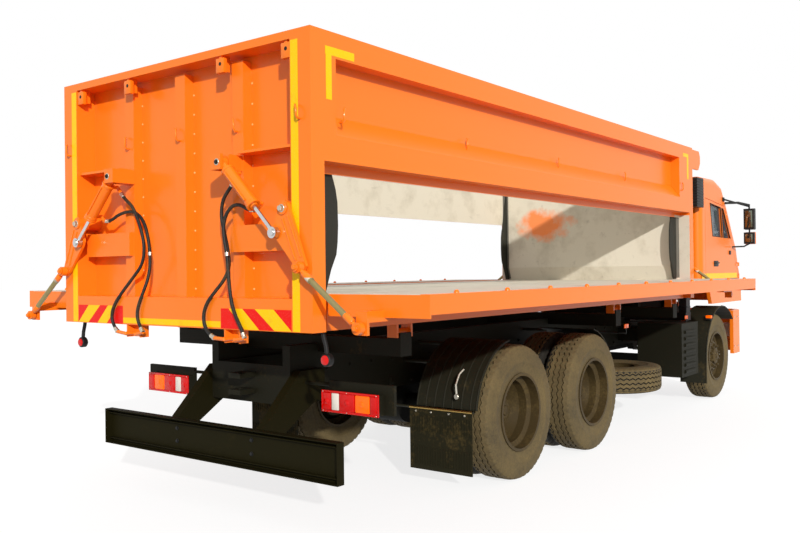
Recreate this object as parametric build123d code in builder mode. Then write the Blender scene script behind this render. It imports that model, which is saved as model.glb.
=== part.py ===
"""Three-axle cab-over dump truck with drop-side tipping bed, in millimetres.

X runs forward, Y to the left, Z up from the ground. The origin is at the ground,
midway along the truck, on its centre plane. Lengths along the truck are given
from the bed's rear face and moved there by BED_REAR.
"""
import os
from math import cos, radians, sin, tan

from build123d import *

os.makedirs("parts", exist_ok=True)

# ---------------------------------------------------------------- driving sizes
OVERALL_LENGTH = 8720.0     # linkage pins to bumper face
LINKAGE_DEPTH = 100.0       # linkages stand this far behind the bed
NOSE_LENGTH = 2245.0        # from the bed's front face to the bumper's face
BED_LENGTH = OVERALL_LENGTH - LINKAGE_DEPTH - NOSE_LENGTH
BED_HALF_WIDTH = 1240.0
BED_BOTTOM_Z = 1288.0
BED_FLOOR_Z = 1500.0
BED_TOP_Z = 3015.0
BED_REAR = -OVERALL_LENGTH / 2 + LINKAGE_DEPTH
BED_FRONT = BED_REAR + BED_LENGTH
AXLE_SHARE = 2351.0 / 8720.0        # of the overall length, from the bed's rear to the last axle
CAB_ORIGIN = BED_FRONT - 6375.0     # cab, engine and tanks are placed from here

AXLE_REAR_X = BED_REAR + AXLE_SHARE * OVERALL_LENGTH
AXLE_MID_X = AXLE_REAR_X + 1324.0
AXLE_FRONT_X = CAB_ORIGIN + 7426.0

TYRE_RADIUS = 525.0
TYRE_WIDTH = 280.0
RIM_RADIUS = 290.0          # bead seat
RIM_FLANGE = 14.0           # flange above the seat
RIM_WALL = 9.0
SEAT_GAP = 0.3              # clearance of curved faces that seat on each other
RUN_GAP = 0.05              # clearance of a shaft in its bore
MOVE_GAP = 6.0              # clearance of moving pieces
FRONT_TYRE_Y = 1030.0
TWIN_OUTER_Y = 1099.0
TWIN_INNER_Y = 785.0

RAIL_OUTER_Y = 400.0
RAIL_FLANGE = 80.0
RAIL_WALL = 9.0
RAIL_BOTTOM_Z = 720.0
RAIL_TOP_Z = 990.0
FRAME_REAR = BED_REAR + 660.0
FRAME_FRONT = CAB_ORIGIN + 8340.0
SUBFRAME_TOP_Z = 1130.0

SIDES = (("left", 1), ("right", -1))


# ---------------------------------------------------------------- small helpers
def block(x0, x1, y0, y1, z0, z1, mode=Mode.ADD):
    """Box between two opposite corners."""
    with Locations(((x0 + x1) / 2, (y0 + y1) / 2, (z0 + z1) / 2)):
        Box(abs(x1 - x0), abs(y1 - y0), abs(z1 - z0), mode=mode)


def side_block(x0, x1, inner, outer, s, z0, z1, mode=Mode.ADD):
    """Box between two distances from the centre plane, on side s."""
    low, high = sorted((s * inner, s * outer))
    block(x0, x1, low, high, z0, z1, mode)


def rod(start, end, radius, mode=Mode.ADD):
    """Round bar between two points."""
    a = Vector(*start)
    b = Vector(*end)
    with BuildSketch(Plane(origin=a, z_dir=b - a)) as section:
        Circle(radius)
    extrude(section.sketch, amount=(b - a).length, mode=mode)


def plate_x(points, x0, x1, mode=Mode.ADD):
    """Outline of (y, z) points, as thick as x0 to x1."""
    with BuildSketch(Plane.YZ.offset(min(x0, x1))) as outline:
        Polygon(*points, align=None)
    extrude(outline.sketch, amount=abs(x1 - x0), mode=mode)


def plate_y(points, y0, y1, mode=Mode.ADD):
    """Outline of (x, z) points, as thick as y0 to y1."""
    with BuildSketch(Plane.XZ.offset(-max(y0, y1))) as outline:
        Polygon(*points, align=None)
    extrude(outline.sketch, amount=abs(y1 - y0), mode=mode)


def turned(profile, centre, s):
    """Ring turned about Y from a closed outline of (distance outward, radius)."""
    x, y, z = centre
    with BuildSketch(Plane(origin=(x, y, z), x_dir=(0, s, 0), z_dir=(s, 0, 0))) as section:
        Polygon(*profile, align=None)
    revolve(section.sketch, axis=Axis((x, y, z), (0, 1, 0)))


def save(piece, label):
    """Label a finished piece and write it to its own file."""
    piece.label = label
    export_step(piece, f"parts/{label}.step")


# ---------------------------------------------------------------- chassis frame
HOIST_X = CAB_ORIGIN + 4860.0
CROSS_MEMBERS = (FRAME_REAR + 400.0, FRAME_REAR + 1350.0, FRAME_REAR + 2250.0, HOIST_X - 800.0, HOIST_X + 200.0,
                 HOIST_X + 950.0)
CROSS_RADIUS = 55.0
CROSS_Z = 860.0
TRUNNION_X = (AXLE_REAR_X + AXLE_MID_X) / 2
TRUNNION_Z = 625.0
TRUNNION_RADIUS = 45.0
SPRING_Y = (415.0, 495.0)               # rear springs, outside the rails
SPRING_SEAT_Z = 700.0
FRONT_SPRING_Y = (325.0, 395.0)         # front springs, under the rails
FRONT_SPRING_HALF = 800.0
HANGER_HEIGHT = 60.0
CAB_REST_X = CAB_ORIGIN + 6840.0
CAB_FLOOR_Z = 1345.0
CAB_PIVOT_X = CAB_ORIGIN + 8330.0
CAB_PIVOT_Z = 1120.0
CAB_PIN_RADIUS = 20.0
CAB_EAR_Y = (340.0, 370.0)
CAB_EAR_RADIUS = 42.0
JAW_BORE = 20.0
JAW_X = FRAME_REAR - 90.0
TOW_EYE_BORE = 22.0
HOIST_BASE_Z = 640.0
HOIST_PIN_RADIUS = 28.0
HOIST_EYE_HALF = 30.0
HOIST_BEARING = 100.0       # bearing plates stand clear of the barrel
SPARE_X = CAB_ORIGIN + 5470.0
SPARE_Y = -625.0
SPARE_TOP_Z = 580.0

rail_profile = [
    (RAIL_OUTER_Y, RAIL_BOTTOM_Z), (RAIL_OUTER_Y, RAIL_TOP_Z),
    (RAIL_OUTER_Y - RAIL_FLANGE, RAIL_TOP_Z), (RAIL_OUTER_Y - RAIL_FLANGE, RAIL_TOP_Z - RAIL_WALL),
    (RAIL_OUTER_Y - RAIL_WALL, RAIL_TOP_Z - RAIL_WALL), (RAIL_OUTER_Y - RAIL_WALL, RAIL_BOTTOM_Z + RAIL_WALL),
    (RAIL_OUTER_Y - RAIL_FLANGE, RAIL_BOTTOM_Z + RAIL_WALL), (RAIL_OUTER_Y - RAIL_FLANGE, RAIL_BOTTOM_Z),
]
with BuildPart() as chassis_frame:
    for name, s in SIDES:
        plate_x([(s * y, z) for y, z in rail_profile], FRAME_REAR, FRAME_FRONT)
        # hanging plate of the bogie's trunnion, with its saddle for the spring
        side_block(TRUNNION_X - 150, TRUNNION_X + 150, RAIL_OUTER_Y - RAIL_WALL, RAIL_OUTER_Y + 14, s,
                   TRUNNION_Z - 70, RAIL_TOP_Z - 60)
        side_block(TRUNNION_X - 110, TRUNNION_X + 110, RAIL_OUTER_Y + 14, SPRING_Y[1], s,
                   TRUNNION_Z - 60, SPRING_SEAT_Z)
        # hangers of the front springs
        for end in (-1, 1):
            hanger_x = AXLE_FRONT_X + end * (FRONT_SPRING_HALF - 60)
            side_block(hanger_x - 60, hanger_x + 60, *FRONT_SPRING_Y, s,
                       RAIL_BOTTOM_Z - HANGER_HEIGHT, RAIL_BOTTOM_Z)
        # post under the cab's rear edge
        side_block(CAB_REST_X - 40, CAB_REST_X + 40, RAIL_OUTER_Y - RAIL_FLANGE, RAIL_OUTER_Y, s,
                   RAIL_TOP_Z, CAB_FLOOR_Z - SEAT_GAP)
        # ear of the cab's tilt pivot
        side_block(CAB_PIVOT_X - 230, CAB_PIVOT_X + CAB_EAR_RADIUS, *CAB_EAR_Y, s, RAIL_BOTTOM_Z + 60, CAB_PIVOT_Z)
        near = (CAB_PIVOT_X, s * CAB_EAR_Y[0], CAB_PIVOT_Z)
        far = (CAB_PIVOT_X, s * CAB_EAR_Y[1], CAB_PIVOT_Z)
        rod(near, far, CAB_EAR_RADIUS)
        rod(near, far, CAB_PIN_RADIUS + RUN_GAP, Mode.SUBTRACT)
    rod((TRUNNION_X, -RAIL_OUTER_Y - 14, TRUNNION_Z), (TRUNNION_X, RAIL_OUTER_Y + 14, TRUNNION_Z), TRUNNION_RADIUS)
    for x in CROSS_MEMBERS:
        rod((x, -RAIL_OUTER_Y + 2, CROSS_Z), (x, RAIL_OUTER_Y - 2, CROSS_Z), CROSS_RADIUS)
    # rear cross member with the towing jaw
    block(FRAME_REAR, FRAME_REAR + 12, -RAIL_OUTER_Y, RAIL_OUTER_Y, RAIL_BOTTOM_Z, RAIL_TOP_Z)
    for z0, z1 in ((CROSS_Z - 75, CROSS_Z - 40), (CROSS_Z + 40, CROSS_Z + 75)):
        block(JAW_X - 55, FRAME_REAR, -60, 60, z0, z1)
    rod((JAW_X, 0, CROSS_Z - 90), (JAW_X, 0, CROSS_Z + 90), JAW_BORE, Mode.SUBTRACT)
    # front cross member with the towing eye
    block(FRAME_FRONT - 60, FRAME_FRONT, -RAIL_OUTER_Y, RAIL_OUTER_Y, RAIL_BOTTOM_Z, RAIL_TOP_Z - 60)
    block(FRAME_FRONT - 10, FRAME_FRONT + 120, -60, 60, CROSS_Z - 20, CROSS_Z + 20)
    rod((FRAME_FRONT + 60, 0, CROSS_Z - 30), (FRAME_FRONT + 60, 0, CROSS_Z + 30), TOW_EYE_BORE, Mode.SUBTRACT)
    # bearing plates of the hoist's base pin
    for end in (-1, 1):
        near = HOIST_X + end * HOIST_BEARING
        far = near + end * 14
        block(min(near, far), max(near, far), -RAIL_OUTER_Y + 4, RAIL_OUTER_Y - 4, HOIST_BASE_Z - 55, RAIL_BOTTOM_Z + 60)
    rod((HOIST_X - HOIST_BEARING - 10, 0, HOIST_BASE_Z), (HOIST_X + HOIST_BEARING + 10, 0, HOIST_BASE_Z),
        HOIST_PIN_RADIUS)
    # hanger of the spare wheel
    block(SPARE_X - 50, SPARE_X + 50, -RAIL_OUTER_Y - 60, -RAIL_OUTER_Y + 60, SPARE_TOP_Z, RAIL_BOTTOM_Z)
save(chassis_frame.part, "chassis_frame")

# ---------------------------------------------------------------- subframe and tipping cradles
TIP_PIVOT_Y = 1080.0
TIP_PIVOT_Z = 1225.0
TIP_PIN_RADIUS = 28.0
CRADLE_HALF = 60.0
CRADLE_BEAMS = (FRAME_REAR + 340.0, FRAME_REAR + 3800.0, BED_FRONT - 335.0)
SUBFRAME_FRONT = BED_FRONT - 20.0
with BuildPart() as subframe:
    for name, s in SIDES:
        side_block(FRAME_REAR, SUBFRAME_FRONT, RAIL_OUTER_Y - 70, RAIL_OUTER_Y, s, RAIL_TOP_Z, SUBFRAME_TOP_Z)
    for x in CRADLE_BEAMS:
        block(x - CRADLE_HALF, x + CRADLE_HALF, -TIP_PIVOT_Y - 55, TIP_PIVOT_Y + 55, SUBFRAME_TOP_Z - 60,
              SUBFRAME_TOP_Z + 55)
        for name, s in SIDES:
            side_block(x - CRADLE_HALF, x + CRADLE_HALF, TIP_PIVOT_Y - 55, TIP_PIVOT_Y + 55, s,
                       SUBFRAME_TOP_Z, TIP_PIVOT_Z)
            rod((x - CRADLE_HALF, s * TIP_PIVOT_Y, TIP_PIVOT_Z), (x + CRADLE_HALF, s * TIP_PIVOT_Y, TIP_PIVOT_Z),
                TIP_PIN_RADIUS + RUN_GAP, Mode.SUBTRACT)
save(subframe.part, "subframe")

# ---------------------------------------------------------------- axles
AXLE_TUBE = 68.0
SPINDLE_RADIUS = 45.0
SPINDLE_START = 690.0
SPINDLE_END = 1040.0
DIFF_RADIUS = 185.0
DIFF_HALF = 150.0
SHAFT_RADIUS = 35.0
SPRING_END_THICK = 36.0
AXLE_PAD_Z = 660.0
KINGPIN_Y = 860.0
KINGPIN_RADIUS = 24.0
KING_BOSS_RADIUS = 48.0
KING_BOSS_Z = (455.0, 595.0)
FRONT_BEAM_Z = (400.0, 500.0)
FRONT_PAD_Z = 560.0
GEARBOX_X = CAB_ORIGIN + 6350.0
BEARING_X = CAB_ORIGIN + 5200.0
ENGINE_SHAFT_Z = 780.0
with BuildPart() as axles:
    for x in (AXLE_REAR_X, AXLE_MID_X):
        rod((x, -SPINDLE_START, TYRE_RADIUS), (x, SPINDLE_START, TYRE_RADIUS), AXLE_TUBE)
        rod((x, -SPINDLE_END, TYRE_RADIUS), (x, SPINDLE_END, TYRE_RADIUS), SPINDLE_RADIUS)
        rod((x, -DIFF_HALF, TYRE_RADIUS), (x, DIFF_HALF, TYRE_RADIUS), DIFF_RADIUS)
        rod((x + 100, 0, TYRE_RADIUS), (x + 300, 0, TYRE_RADIUS), 90)
        for name, s in SIDES:
            side_block(x - 70, x + 70, *SPRING_Y, s, TYRE_RADIUS, AXLE_PAD_Z)
    rod((AXLE_REAR_X, 0, TYRE_RADIUS), (AXLE_MID_X, 0, TYRE_RADIUS), SHAFT_RADIUS)
    rod((AXLE_MID_X, 0, TYRE_RADIUS), (BEARING_X, 0, TYRE_RADIUS), SHAFT_RADIUS)
    with Locations((BEARING_X, 0, TYRE_RADIUS)):
        Sphere(55)
    rod((BEARING_X, 0, TYRE_RADIUS), (GEARBOX_X - 10, 0, ENGINE_SHAFT_Z), SHAFT_RADIUS)
    with BuildSketch(Plane.YZ.offset(AXLE_FRONT_X - 55)) as beam_outline:
        half = KINGPIN_Y - 20
        Polygon((-half, KING_BOSS_Z[1] - 15), (-half, KING_BOSS_Z[0] + 15), (-640, FRONT_BEAM_Z[0]), (640, FRONT_BEAM_Z[0]),
                (half, KING_BOSS_Z[0] + 15), (half, KING_BOSS_Z[1] - 15), (600, FRONT_BEAM_Z[1]), (-600, FRONT_BEAM_Z[1]),
                align=None)
    extrude(amount=110)
    for name, s in SIDES:
        y = s * KINGPIN_Y
        side_block(AXLE_FRONT_X - 80, AXLE_FRONT_X + 80, *FRONT_SPRING_Y, s, FRONT_BEAM_Z[1] - 10, FRONT_PAD_Z)
        rod((AXLE_FRONT_X, y, KING_BOSS_Z[0]), (AXLE_FRONT_X, y, KING_BOSS_Z[1]), KING_BOSS_RADIUS)
        rod((AXLE_FRONT_X, y, KING_BOSS_Z[0] - 5), (AXLE_FRONT_X, y, KING_BOSS_Z[1] + 5),
            KINGPIN_RADIUS + RUN_GAP, Mode.SUBTRACT)
save(axles.part, "axles")

# ---------------------------------------------------------------- leaf springs
SPRING_MID_THICK = 150.0
FRONT_SPRING_THICK = 75.0
with BuildPart() as leaf_springs:
    for name, s in SIDES:
        reach = (AXLE_MID_X - AXLE_REAR_X) / 2 + 70
        plate_y([(TRUNNION_X - reach, AXLE_PAD_Z), (TRUNNION_X - reach + 150, AXLE_PAD_Z),
                 (TRUNNION_X - 110, SPRING_SEAT_Z), (TRUNNION_X + 110, SPRING_SEAT_Z),
                 (TRUNNION_X + reach - 150, AXLE_PAD_Z), (TRUNNION_X + reach, AXLE_PAD_Z),
                 (TRUNNION_X + reach, AXLE_PAD_Z + SPRING_END_THICK),
                 (TRUNNION_X + 130, SPRING_SEAT_Z + SPRING_MID_THICK),
                 (TRUNNION_X - 130, SPRING_SEAT_Z + SPRING_MID_THICK),
                 (TRUNNION_X - reach, AXLE_PAD_Z + SPRING_END_THICK)],
                s * SPRING_Y[0], s * SPRING_Y[1])
        top = RAIL_BOTTOM_Z - HANGER_HEIGHT
        plate_y([(AXLE_FRONT_X - FRONT_SPRING_HALF, top - 22), (AXLE_FRONT_X - FRONT_SPRING_HALF, top),
                 (AXLE_FRONT_X - FRONT_SPRING_HALF + 120, top), (AXLE_FRONT_X - 110, FRONT_PAD_Z + FRONT_SPRING_THICK),
                 (AXLE_FRONT_X + 110, FRONT_PAD_Z + FRONT_SPRING_THICK),
                 (AXLE_FRONT_X + FRONT_SPRING_HALF - 120, top), (AXLE_FRONT_X + FRONT_SPRING_HALF, top),
                 (AXLE_FRONT_X + FRONT_SPRING_HALF, top - 22), (AXLE_FRONT_X + 130, FRONT_PAD_Z),
                 (AXLE_FRONT_X - 130, FRONT_PAD_Z)],
                s * FRONT_SPRING_Y[0], s * FRONT_SPRING_Y[1])
save(leaf_springs.part, "leaf_springs")

# ---------------------------------------------------------------- engine, gearbox and radiator as one block
ENGINE_HALF = 270.0
ENGINE_TOP_Z = 1270.0
with BuildPart() as engine:
    block(GEARBOX_X + 650, CAB_ORIGIN + 7960, -ENGINE_HALF, ENGINE_HALF, 640, ENGINE_TOP_Z)
    block(GEARBOX_X, GEARBOX_X + 650, -170, 170, 620, 1000)
    block(CAB_ORIGIN + 7960, CAB_ORIGIN + 8110, -310, 310, 740, ENGINE_TOP_Z)
    # mounting feet that reach the rails
    for name, s in SIDES:
        side_block(GEARBOX_X + 900, GEARBOX_X + 1060, ENGINE_HALF, RAIL_OUTER_Y - RAIL_WALL, s, 800, 860)
save(engine.part, "engine")

# ---------------------------------------------------------------- fuel tank, left side
TANK_X = (AXLE_MID_X + 875.0, CAB_ORIGIN + 5850.0)
TANK_Y = (520.0, 1150.0)
TANK_Z = (420.0, 1000.0)
with BuildPart() as fuel_tank:
    with BuildSketch(Plane.YZ.offset(TANK_X[0])):
        with Locations(((TANK_Y[0] + TANK_Y[1]) / 2, (TANK_Z[0] + TANK_Z[1]) / 2)):
            RectangleRounded(TANK_Y[1] - TANK_Y[0], TANK_Z[1] - TANK_Z[0], 110)
    extrude(amount=TANK_X[1] - TANK_X[0])
    for x in (TANK_X[0] + 250, TANK_X[1] - 310):
        block(x, x + 60, RAIL_OUTER_Y, TANK_Y[0] + 60, TANK_Z[0] + 330, RAIL_TOP_Z - 40)
save(fuel_tank.part, "fuel_tank")

# ---------------------------------------------------------------- side box, right, and air tanks
BOX_X = (CAB_ORIGIN + 6090.0, CAB_ORIGIN + 6640.0)
BOX_Y = (670.0, 1190.0)
BOX_Z = (390.0, 1000.0)
AIR_TANK_RADIUS = 130.0
AIR_TANK_Z = 590.0
with BuildPart() as side_boxes:
    side_block(*BOX_X, *BOX_Y, -1, *BOX_Z)
    ribs = [(BOX_X[0] + 90, z) for z in range(int(BOX_Z[0]) + 60, int(BOX_Z[1]) - 40, 75)]
    for x, z in ribs:
        rod((x, -BOX_Y[1], z), (BOX_X[1] - 130, -BOX_Y[1], z), 20)
    for x in (BOX_X[0] + 80, BOX_X[1] - 160):
        side_block(x, x + 80, RAIL_OUTER_Y, BOX_Y[0], -1, RAIL_BOTTOM_Z + 60, RAIL_TOP_Z - 60)
    # two air tanks under the left rail, each on its strap block
    for x in (CAB_ORIGIN + 6000.0, CAB_ORIGIN + 6450.0):
        rod((x, 560, AIR_TANK_Z), (x, 1120, AIR_TANK_Z), AIR_TANK_RADIUS)
        block(x - 40, x + 40, RAIL_OUTER_Y, 620, AIR_TANK_Z + 60, RAIL_BOTTOM_Z + 120)
save(side_boxes.part, "side_boxes")

# ---------------------------------------------------------------- spare wheel, lying flat
with BuildPart() as spare_wheel:
    with BuildSketch(Plane(origin=(SPARE_X, SPARE_Y, SPARE_TOP_Z - TYRE_WIDTH), x_dir=(1, 0, 0), z_dir=(0, -1, 0))):
        Polygon((70, 110), (240, 110), (250, 20), (285, 20), (300, 8), (400, 0), (490, 25), (TYRE_RADIUS, 50),
                (TYRE_RADIUS, TYRE_WIDTH - 50), (490, TYRE_WIDTH - 25), (400, TYRE_WIDTH), (300, TYRE_WIDTH - 8),
                (70, TYRE_WIDTH - 8), align=None)
    revolve(axis=Axis((SPARE_X, SPARE_Y, 0), (0, 0, 1)))
    rod((SPARE_X, SPARE_Y + 225, SPARE_TOP_Z - 10), (SPARE_X, SPARE_Y + 225, SPARE_TOP_Z), 60)
save(spare_wheel.part, "spare_wheel")

# ---------------------------------------------------------------- rear mudguards, flaps and their hangers
GUARD_INNER_R = 560.0
GUARD_WALL = 8.0
GUARD_Y = (630.0, 1180.0)
FLAP_X = AXLE_REAR_X - 601.0
FLAP_Y = (600.0, 1160.0)
FLAP_Z = (128.0, 585.0)
FLAP_THICK = 10.0
FLAP_ROD = 9.0
GUARD_STAY_Z = 1050.0
with BuildPart() as rear_mudguards:
    # (axle, first angle, last angle) from straight forward, in degrees, and the side that the stay is on
    for axle_x, first, last, way in ((AXLE_REAR_X, 98, 172, -1), (AXLE_MID_X, 12, 78, 1)):
        for name, s in SIDES:
            arc = [first + (last - first) * k / 12 for k in range(13)]
            outer = [(axle_x + (GUARD_INNER_R + GUARD_WALL) * cos(radians(a)),
                      TYRE_RADIUS + (GUARD_INNER_R + GUARD_WALL) * sin(radians(a))) for a in arc]
            inner = [(axle_x + GUARD_INNER_R * cos(radians(a)),
                      TYRE_RADIUS + GUARD_INNER_R * sin(radians(a))) for a in reversed(arc)]
            plate_y(outer + inner, s * GUARD_Y[0], s * GUARD_Y[1])
            # stays from the subframe across the guard
            for z in (GUARD_STAY_Z, GUARD_STAY_Z - 130):
                middle = GUARD_INNER_R + GUARD_WALL / 2
                x = axle_x + way * (middle**2 - (z - TYRE_RADIUS) ** 2) ** 0.5
                rod((x, s * RAIL_OUTER_Y, z), (x, s * (GUARD_Y[0] + 20), z), 14)
    # hanger of each flap: a plate on the rail and the rod that the flap hangs from
    for name, s in SIDES:
        rod_z = FLAP_Z[1] + FLAP_ROD + SEAT_GAP
        side_block(FLAP_X - 15, FLAP_X + 15, RAIL_OUTER_Y, RAIL_OUTER_Y + 14, s, rod_z - 15, RAIL_BOTTOM_Z + 80)
        rod((FLAP_X, s * (RAIL_OUTER_Y + 5), rod_z), (FLAP_X, s * (FLAP_Y[1] + 15), rod_z), FLAP_ROD)
save(rear_mudguards.part, "rear_mudguards")

with BuildPart() as rear_mudflaps:
    for name, s in SIDES:
        side_block(FLAP_X - FLAP_THICK / 2, FLAP_X + FLAP_THICK / 2, *FLAP_Y, s, *FLAP_Z)
save(rear_mudflaps.part, "rear_mudflaps")

# ---------------------------------------------------------------- rear underrun guard
UNDERRUN_X = BED_REAR + 270.0
UNDERRUN_HALF = 1170.0
UNDERRUN_Z = (365.0, 620.0)
UNDERRUN_DEPTH = 60.0
STRUT_X = FRAME_REAR + 150.0
STRUT_WIDTH = 70.0
with BuildPart() as underrun_guard:
    # channel open to the rear, closed by end plates
    block(UNDERRUN_X + UNDERRUN_DEPTH - 6, UNDERRUN_X + UNDERRUN_DEPTH, -UNDERRUN_HALF, UNDERRUN_HALF, *UNDERRUN_Z)
    for z in (UNDERRUN_Z[0], UNDERRUN_Z[1] - 6):
        block(UNDERRUN_X, UNDERRUN_X + UNDERRUN_DEPTH, -UNDERRUN_HALF, UNDERRUN_HALF, z, z + 6)
    for name, s in SIDES:
        side_block(UNDERRUN_X, UNDERRUN_X + UNDERRUN_DEPTH, UNDERRUN_HALF - 6, UNDERRUN_HALF, s, *UNDERRUN_Z)
        # box strut up to the rail's outer face
        plate_y([(UNDERRUN_X + UNDERRUN_DEPTH, UNDERRUN_Z[0] + 70), (UNDERRUN_X + UNDERRUN_DEPTH, UNDERRUN_Z[1] - 20),
                 (STRUT_X - 120, RAIL_TOP_Z - 30), (STRUT_X + 120, RAIL_TOP_Z - 30), (STRUT_X + 120, RAIL_BOTTOM_Z + 30),
                 (STRUT_X, RAIL_BOTTOM_Z + 10)], s * RAIL_OUTER_Y, s * (RAIL_OUTER_Y + STRUT_WIDTH))
save(underrun_guard.part, "underrun_guard")

# ---------------------------------------------------------------- tail lamps on a tube from the frame
LAMP_X = BED_REAR + 670.0
LAMP_Y = (693.0, 1159.0)
LAMP_Z = (720.0, 850.0)
LAMP_HOUSING_Y = 1240.0
LAMP_HOUSING_Z = 910.0
with BuildPart() as tail_lamps:
    for name, s in SIDES:
        side_block(LAMP_X, LAMP_X + 60, *LAMP_Y, s, *LAMP_Z)
        side_block(LAMP_X + 60, LAMP_X + 85, LAMP_Y[0], LAMP_HOUSING_Y, s, LAMP_Z[0], LAMP_HOUSING_Z)
        rod((LAMP_X + 72, s * (RAIL_OUTER_Y + STRUT_WIDTH), LAMP_Z[1] + 30), (LAMP_X + 72, s * (LAMP_Y[0] + 40), LAMP_Z[1] + 30), 12)
save(tail_lamps.part, "tail_lamps")

# ---------------------------------------------------------------- front bumper and headlamps
BUMPER_FACE_X = BED_REAR - LINKAGE_DEPTH + OVERALL_LENGTH
BUMPER_BACK_X = CAB_ORIGIN + 8020.0
BUMPER_Z = (505.0, 1070.0)
BUMPER_HALF = 1200.0
BUMPER_WALL = 45.0
HEADLAMP_Y = (760.0, 1040.0)
HEADLAMP_Z = (700.0, 880.0)
HEADLAMP_DEPTH = 30.0


def bumper_outline(inset):
    """Plan of the bumper's outside, pulled in by inset."""
    front = BUMPER_FACE_X - inset
    half = BUMPER_HALF - inset
    return [(BUMPER_BACK_X, half), (front - 330, half), (front - 130, half - 90), (front - 25, half - 330),
            (front, 350.0), (front, -350.0), (front - 25, 330 - half), (front - 130, 90 - half),
            (front - 330, -half), (BUMPER_BACK_X, -half)]


with BuildPart() as front_bumper:
    with BuildSketch(Plane.XY.offset(BUMPER_Z[0])):
        Polygon(*bumper_outline(0), align=None)
        Polygon(*bumper_outline(BUMPER_WALL), align=None, mode=Mode.SUBTRACT)
    extrude(amount=BUMPER_Z[1] - BUMPER_Z[0])
    # air slots
    for z in (590.0, 930.0):
        block(BUMPER_FACE_X - 100, BUMPER_FACE_X + 10, -430, 430, z, z + 70, Mode.SUBTRACT)
    for name, s in SIDES:
        side_block(BUMPER_FACE_X - 300, BUMPER_FACE_X + 10, *HEADLAMP_Y, s, *HEADLAMP_Z, Mode.SUBTRACT)
        # arm that carries the bumper on the rail
        side_block(FRAME_FRONT - 300, BUMPER_FACE_X - BUMPER_WALL - 20, RAIL_OUTER_Y, RAIL_OUTER_Y + 30, s,
                   RAIL_BOTTOM_Z, RAIL_BOTTOM_Z + 120)
        side_block(BUMPER_FACE_X - 120, BUMPER_FACE_X - 30, RAIL_OUTER_Y, RAIL_OUTER_Y + 30, s,
                   RAIL_BOTTOM_Z - 20, RAIL_BOTTOM_Z + 140)
save(front_bumper.part, "front_bumper")
with BuildPart() as headlamps:
    for name, s in SIDES:
        with BuildSketch(Plane.XY.offset(HEADLAMP_Z[0])):
            Polygon(*[(x, s * y) for x, y in ((BUMPER_FACE_X - 210, HEADLAMP_Y[0]), (BUMPER_FACE_X - 62, HEADLAMP_Y[0]),
                                              (BUMPER_FACE_X - 90, 900.0), (BUMPER_FACE_X - 125, HEADLAMP_Y[1]),
                                              (BUMPER_FACE_X - 210, HEADLAMP_Y[1]))], align=None)
        extrude(amount=HEADLAMP_Z[1] - HEADLAMP_Z[0])
save(headlamps.part, "headlamps")

# ---------------------------------------------------------------- guards behind the front wheels
FRONT_GUARD_R = 620.0
FRONT_GUARD_WALL = 8.0
FRONT_GUARD_SWEEP = 135.0   # degrees, from behind the wheel over its top
FRONT_GUARD_Y = (920.0, 1240.0)
FRONT_GUARD_Z = 250.0
FRONT_GUARD_STAY_Z = 820.0
with BuildPart() as front_mudguards:
    for name, s in SIDES:
        arc = [180 - FRONT_GUARD_SWEEP * k / 18 for k in range(19)]
        outer = [(AXLE_FRONT_X + (FRONT_GUARD_R + FRONT_GUARD_WALL) * cos(radians(a)),
                  TYRE_RADIUS + (FRONT_GUARD_R + FRONT_GUARD_WALL) * sin(radians(a))) for a in arc]
        inner = [(AXLE_FRONT_X + FRONT_GUARD_R * cos(radians(a)),
                  TYRE_RADIUS + FRONT_GUARD_R * sin(radians(a))) for a in reversed(arc)]
        back = AXLE_FRONT_X - FRONT_GUARD_R
        plate_y([(back - FRONT_GUARD_WALL, FRONT_GUARD_Z)] + outer + inner + [(back, FRONT_GUARD_Z)],
                s * FRONT_GUARD_Y[0], s * FRONT_GUARD_Y[1])
        stay_x = AXLE_FRONT_X - ((FRONT_GUARD_R + FRONT_GUARD_WALL / 2) ** 2
                                 - (FRONT_GUARD_STAY_Z - TYRE_RADIUS) ** 2) ** 0.5
        rod((stay_x, s * RAIL_OUTER_Y, FRONT_GUARD_STAY_Z), (stay_x, s * (FRONT_GUARD_Y[0] + 20), FRONT_GUARD_STAY_Z), 14)
save(front_mudguards.part, "front_mudguards")

# ---------------------------------------------------------------- steering knuckles
KNUCKLE_EAR = 55.0
KNUCKLE_WEB_Y = 50.0        # web starts this far outside the pin
FRONT_HUB_Y = (945.0, 1120.0)
for name, s in SIDES:
    with BuildPart() as knuckle:
        y = s * KINGPIN_Y
        low = KING_BOSS_Z[0] - SEAT_GAP
        high = KING_BOSS_Z[1] + SEAT_GAP
        rod((AXLE_FRONT_X, y, low - KNUCKLE_EAR), (AXLE_FRONT_X, y, high + KNUCKLE_EAR), KINGPIN_RADIUS)
        for z0, z1 in ((low - KNUCKLE_EAR, low), (high, high + KNUCKLE_EAR)):
            rod((AXLE_FRONT_X, y, z0), (AXLE_FRONT_X, y, z1), 44)
            side_block(AXLE_FRONT_X - 44, AXLE_FRONT_X + 44, KINGPIN_Y, KINGPIN_Y + KNUCKLE_WEB_Y + 25, s, z0, z1)
        side_block(AXLE_FRONT_X - 60, AXLE_FRONT_X + 60, KINGPIN_Y + KNUCKLE_WEB_Y + 3, KINGPIN_Y + KNUCKLE_WEB_Y + 28, s,
                   low - KNUCKLE_EAR, high + KNUCKLE_EAR)
        rod((AXLE_FRONT_X, y + s * (KNUCKLE_WEB_Y + 10), TYRE_RADIUS), (AXLE_FRONT_X, s * (FRONT_HUB_Y[1] - 20), TYRE_RADIUS),
            SPINDLE_RADIUS)
    save(knuckle.part, f"knuckle_{name}")


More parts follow.
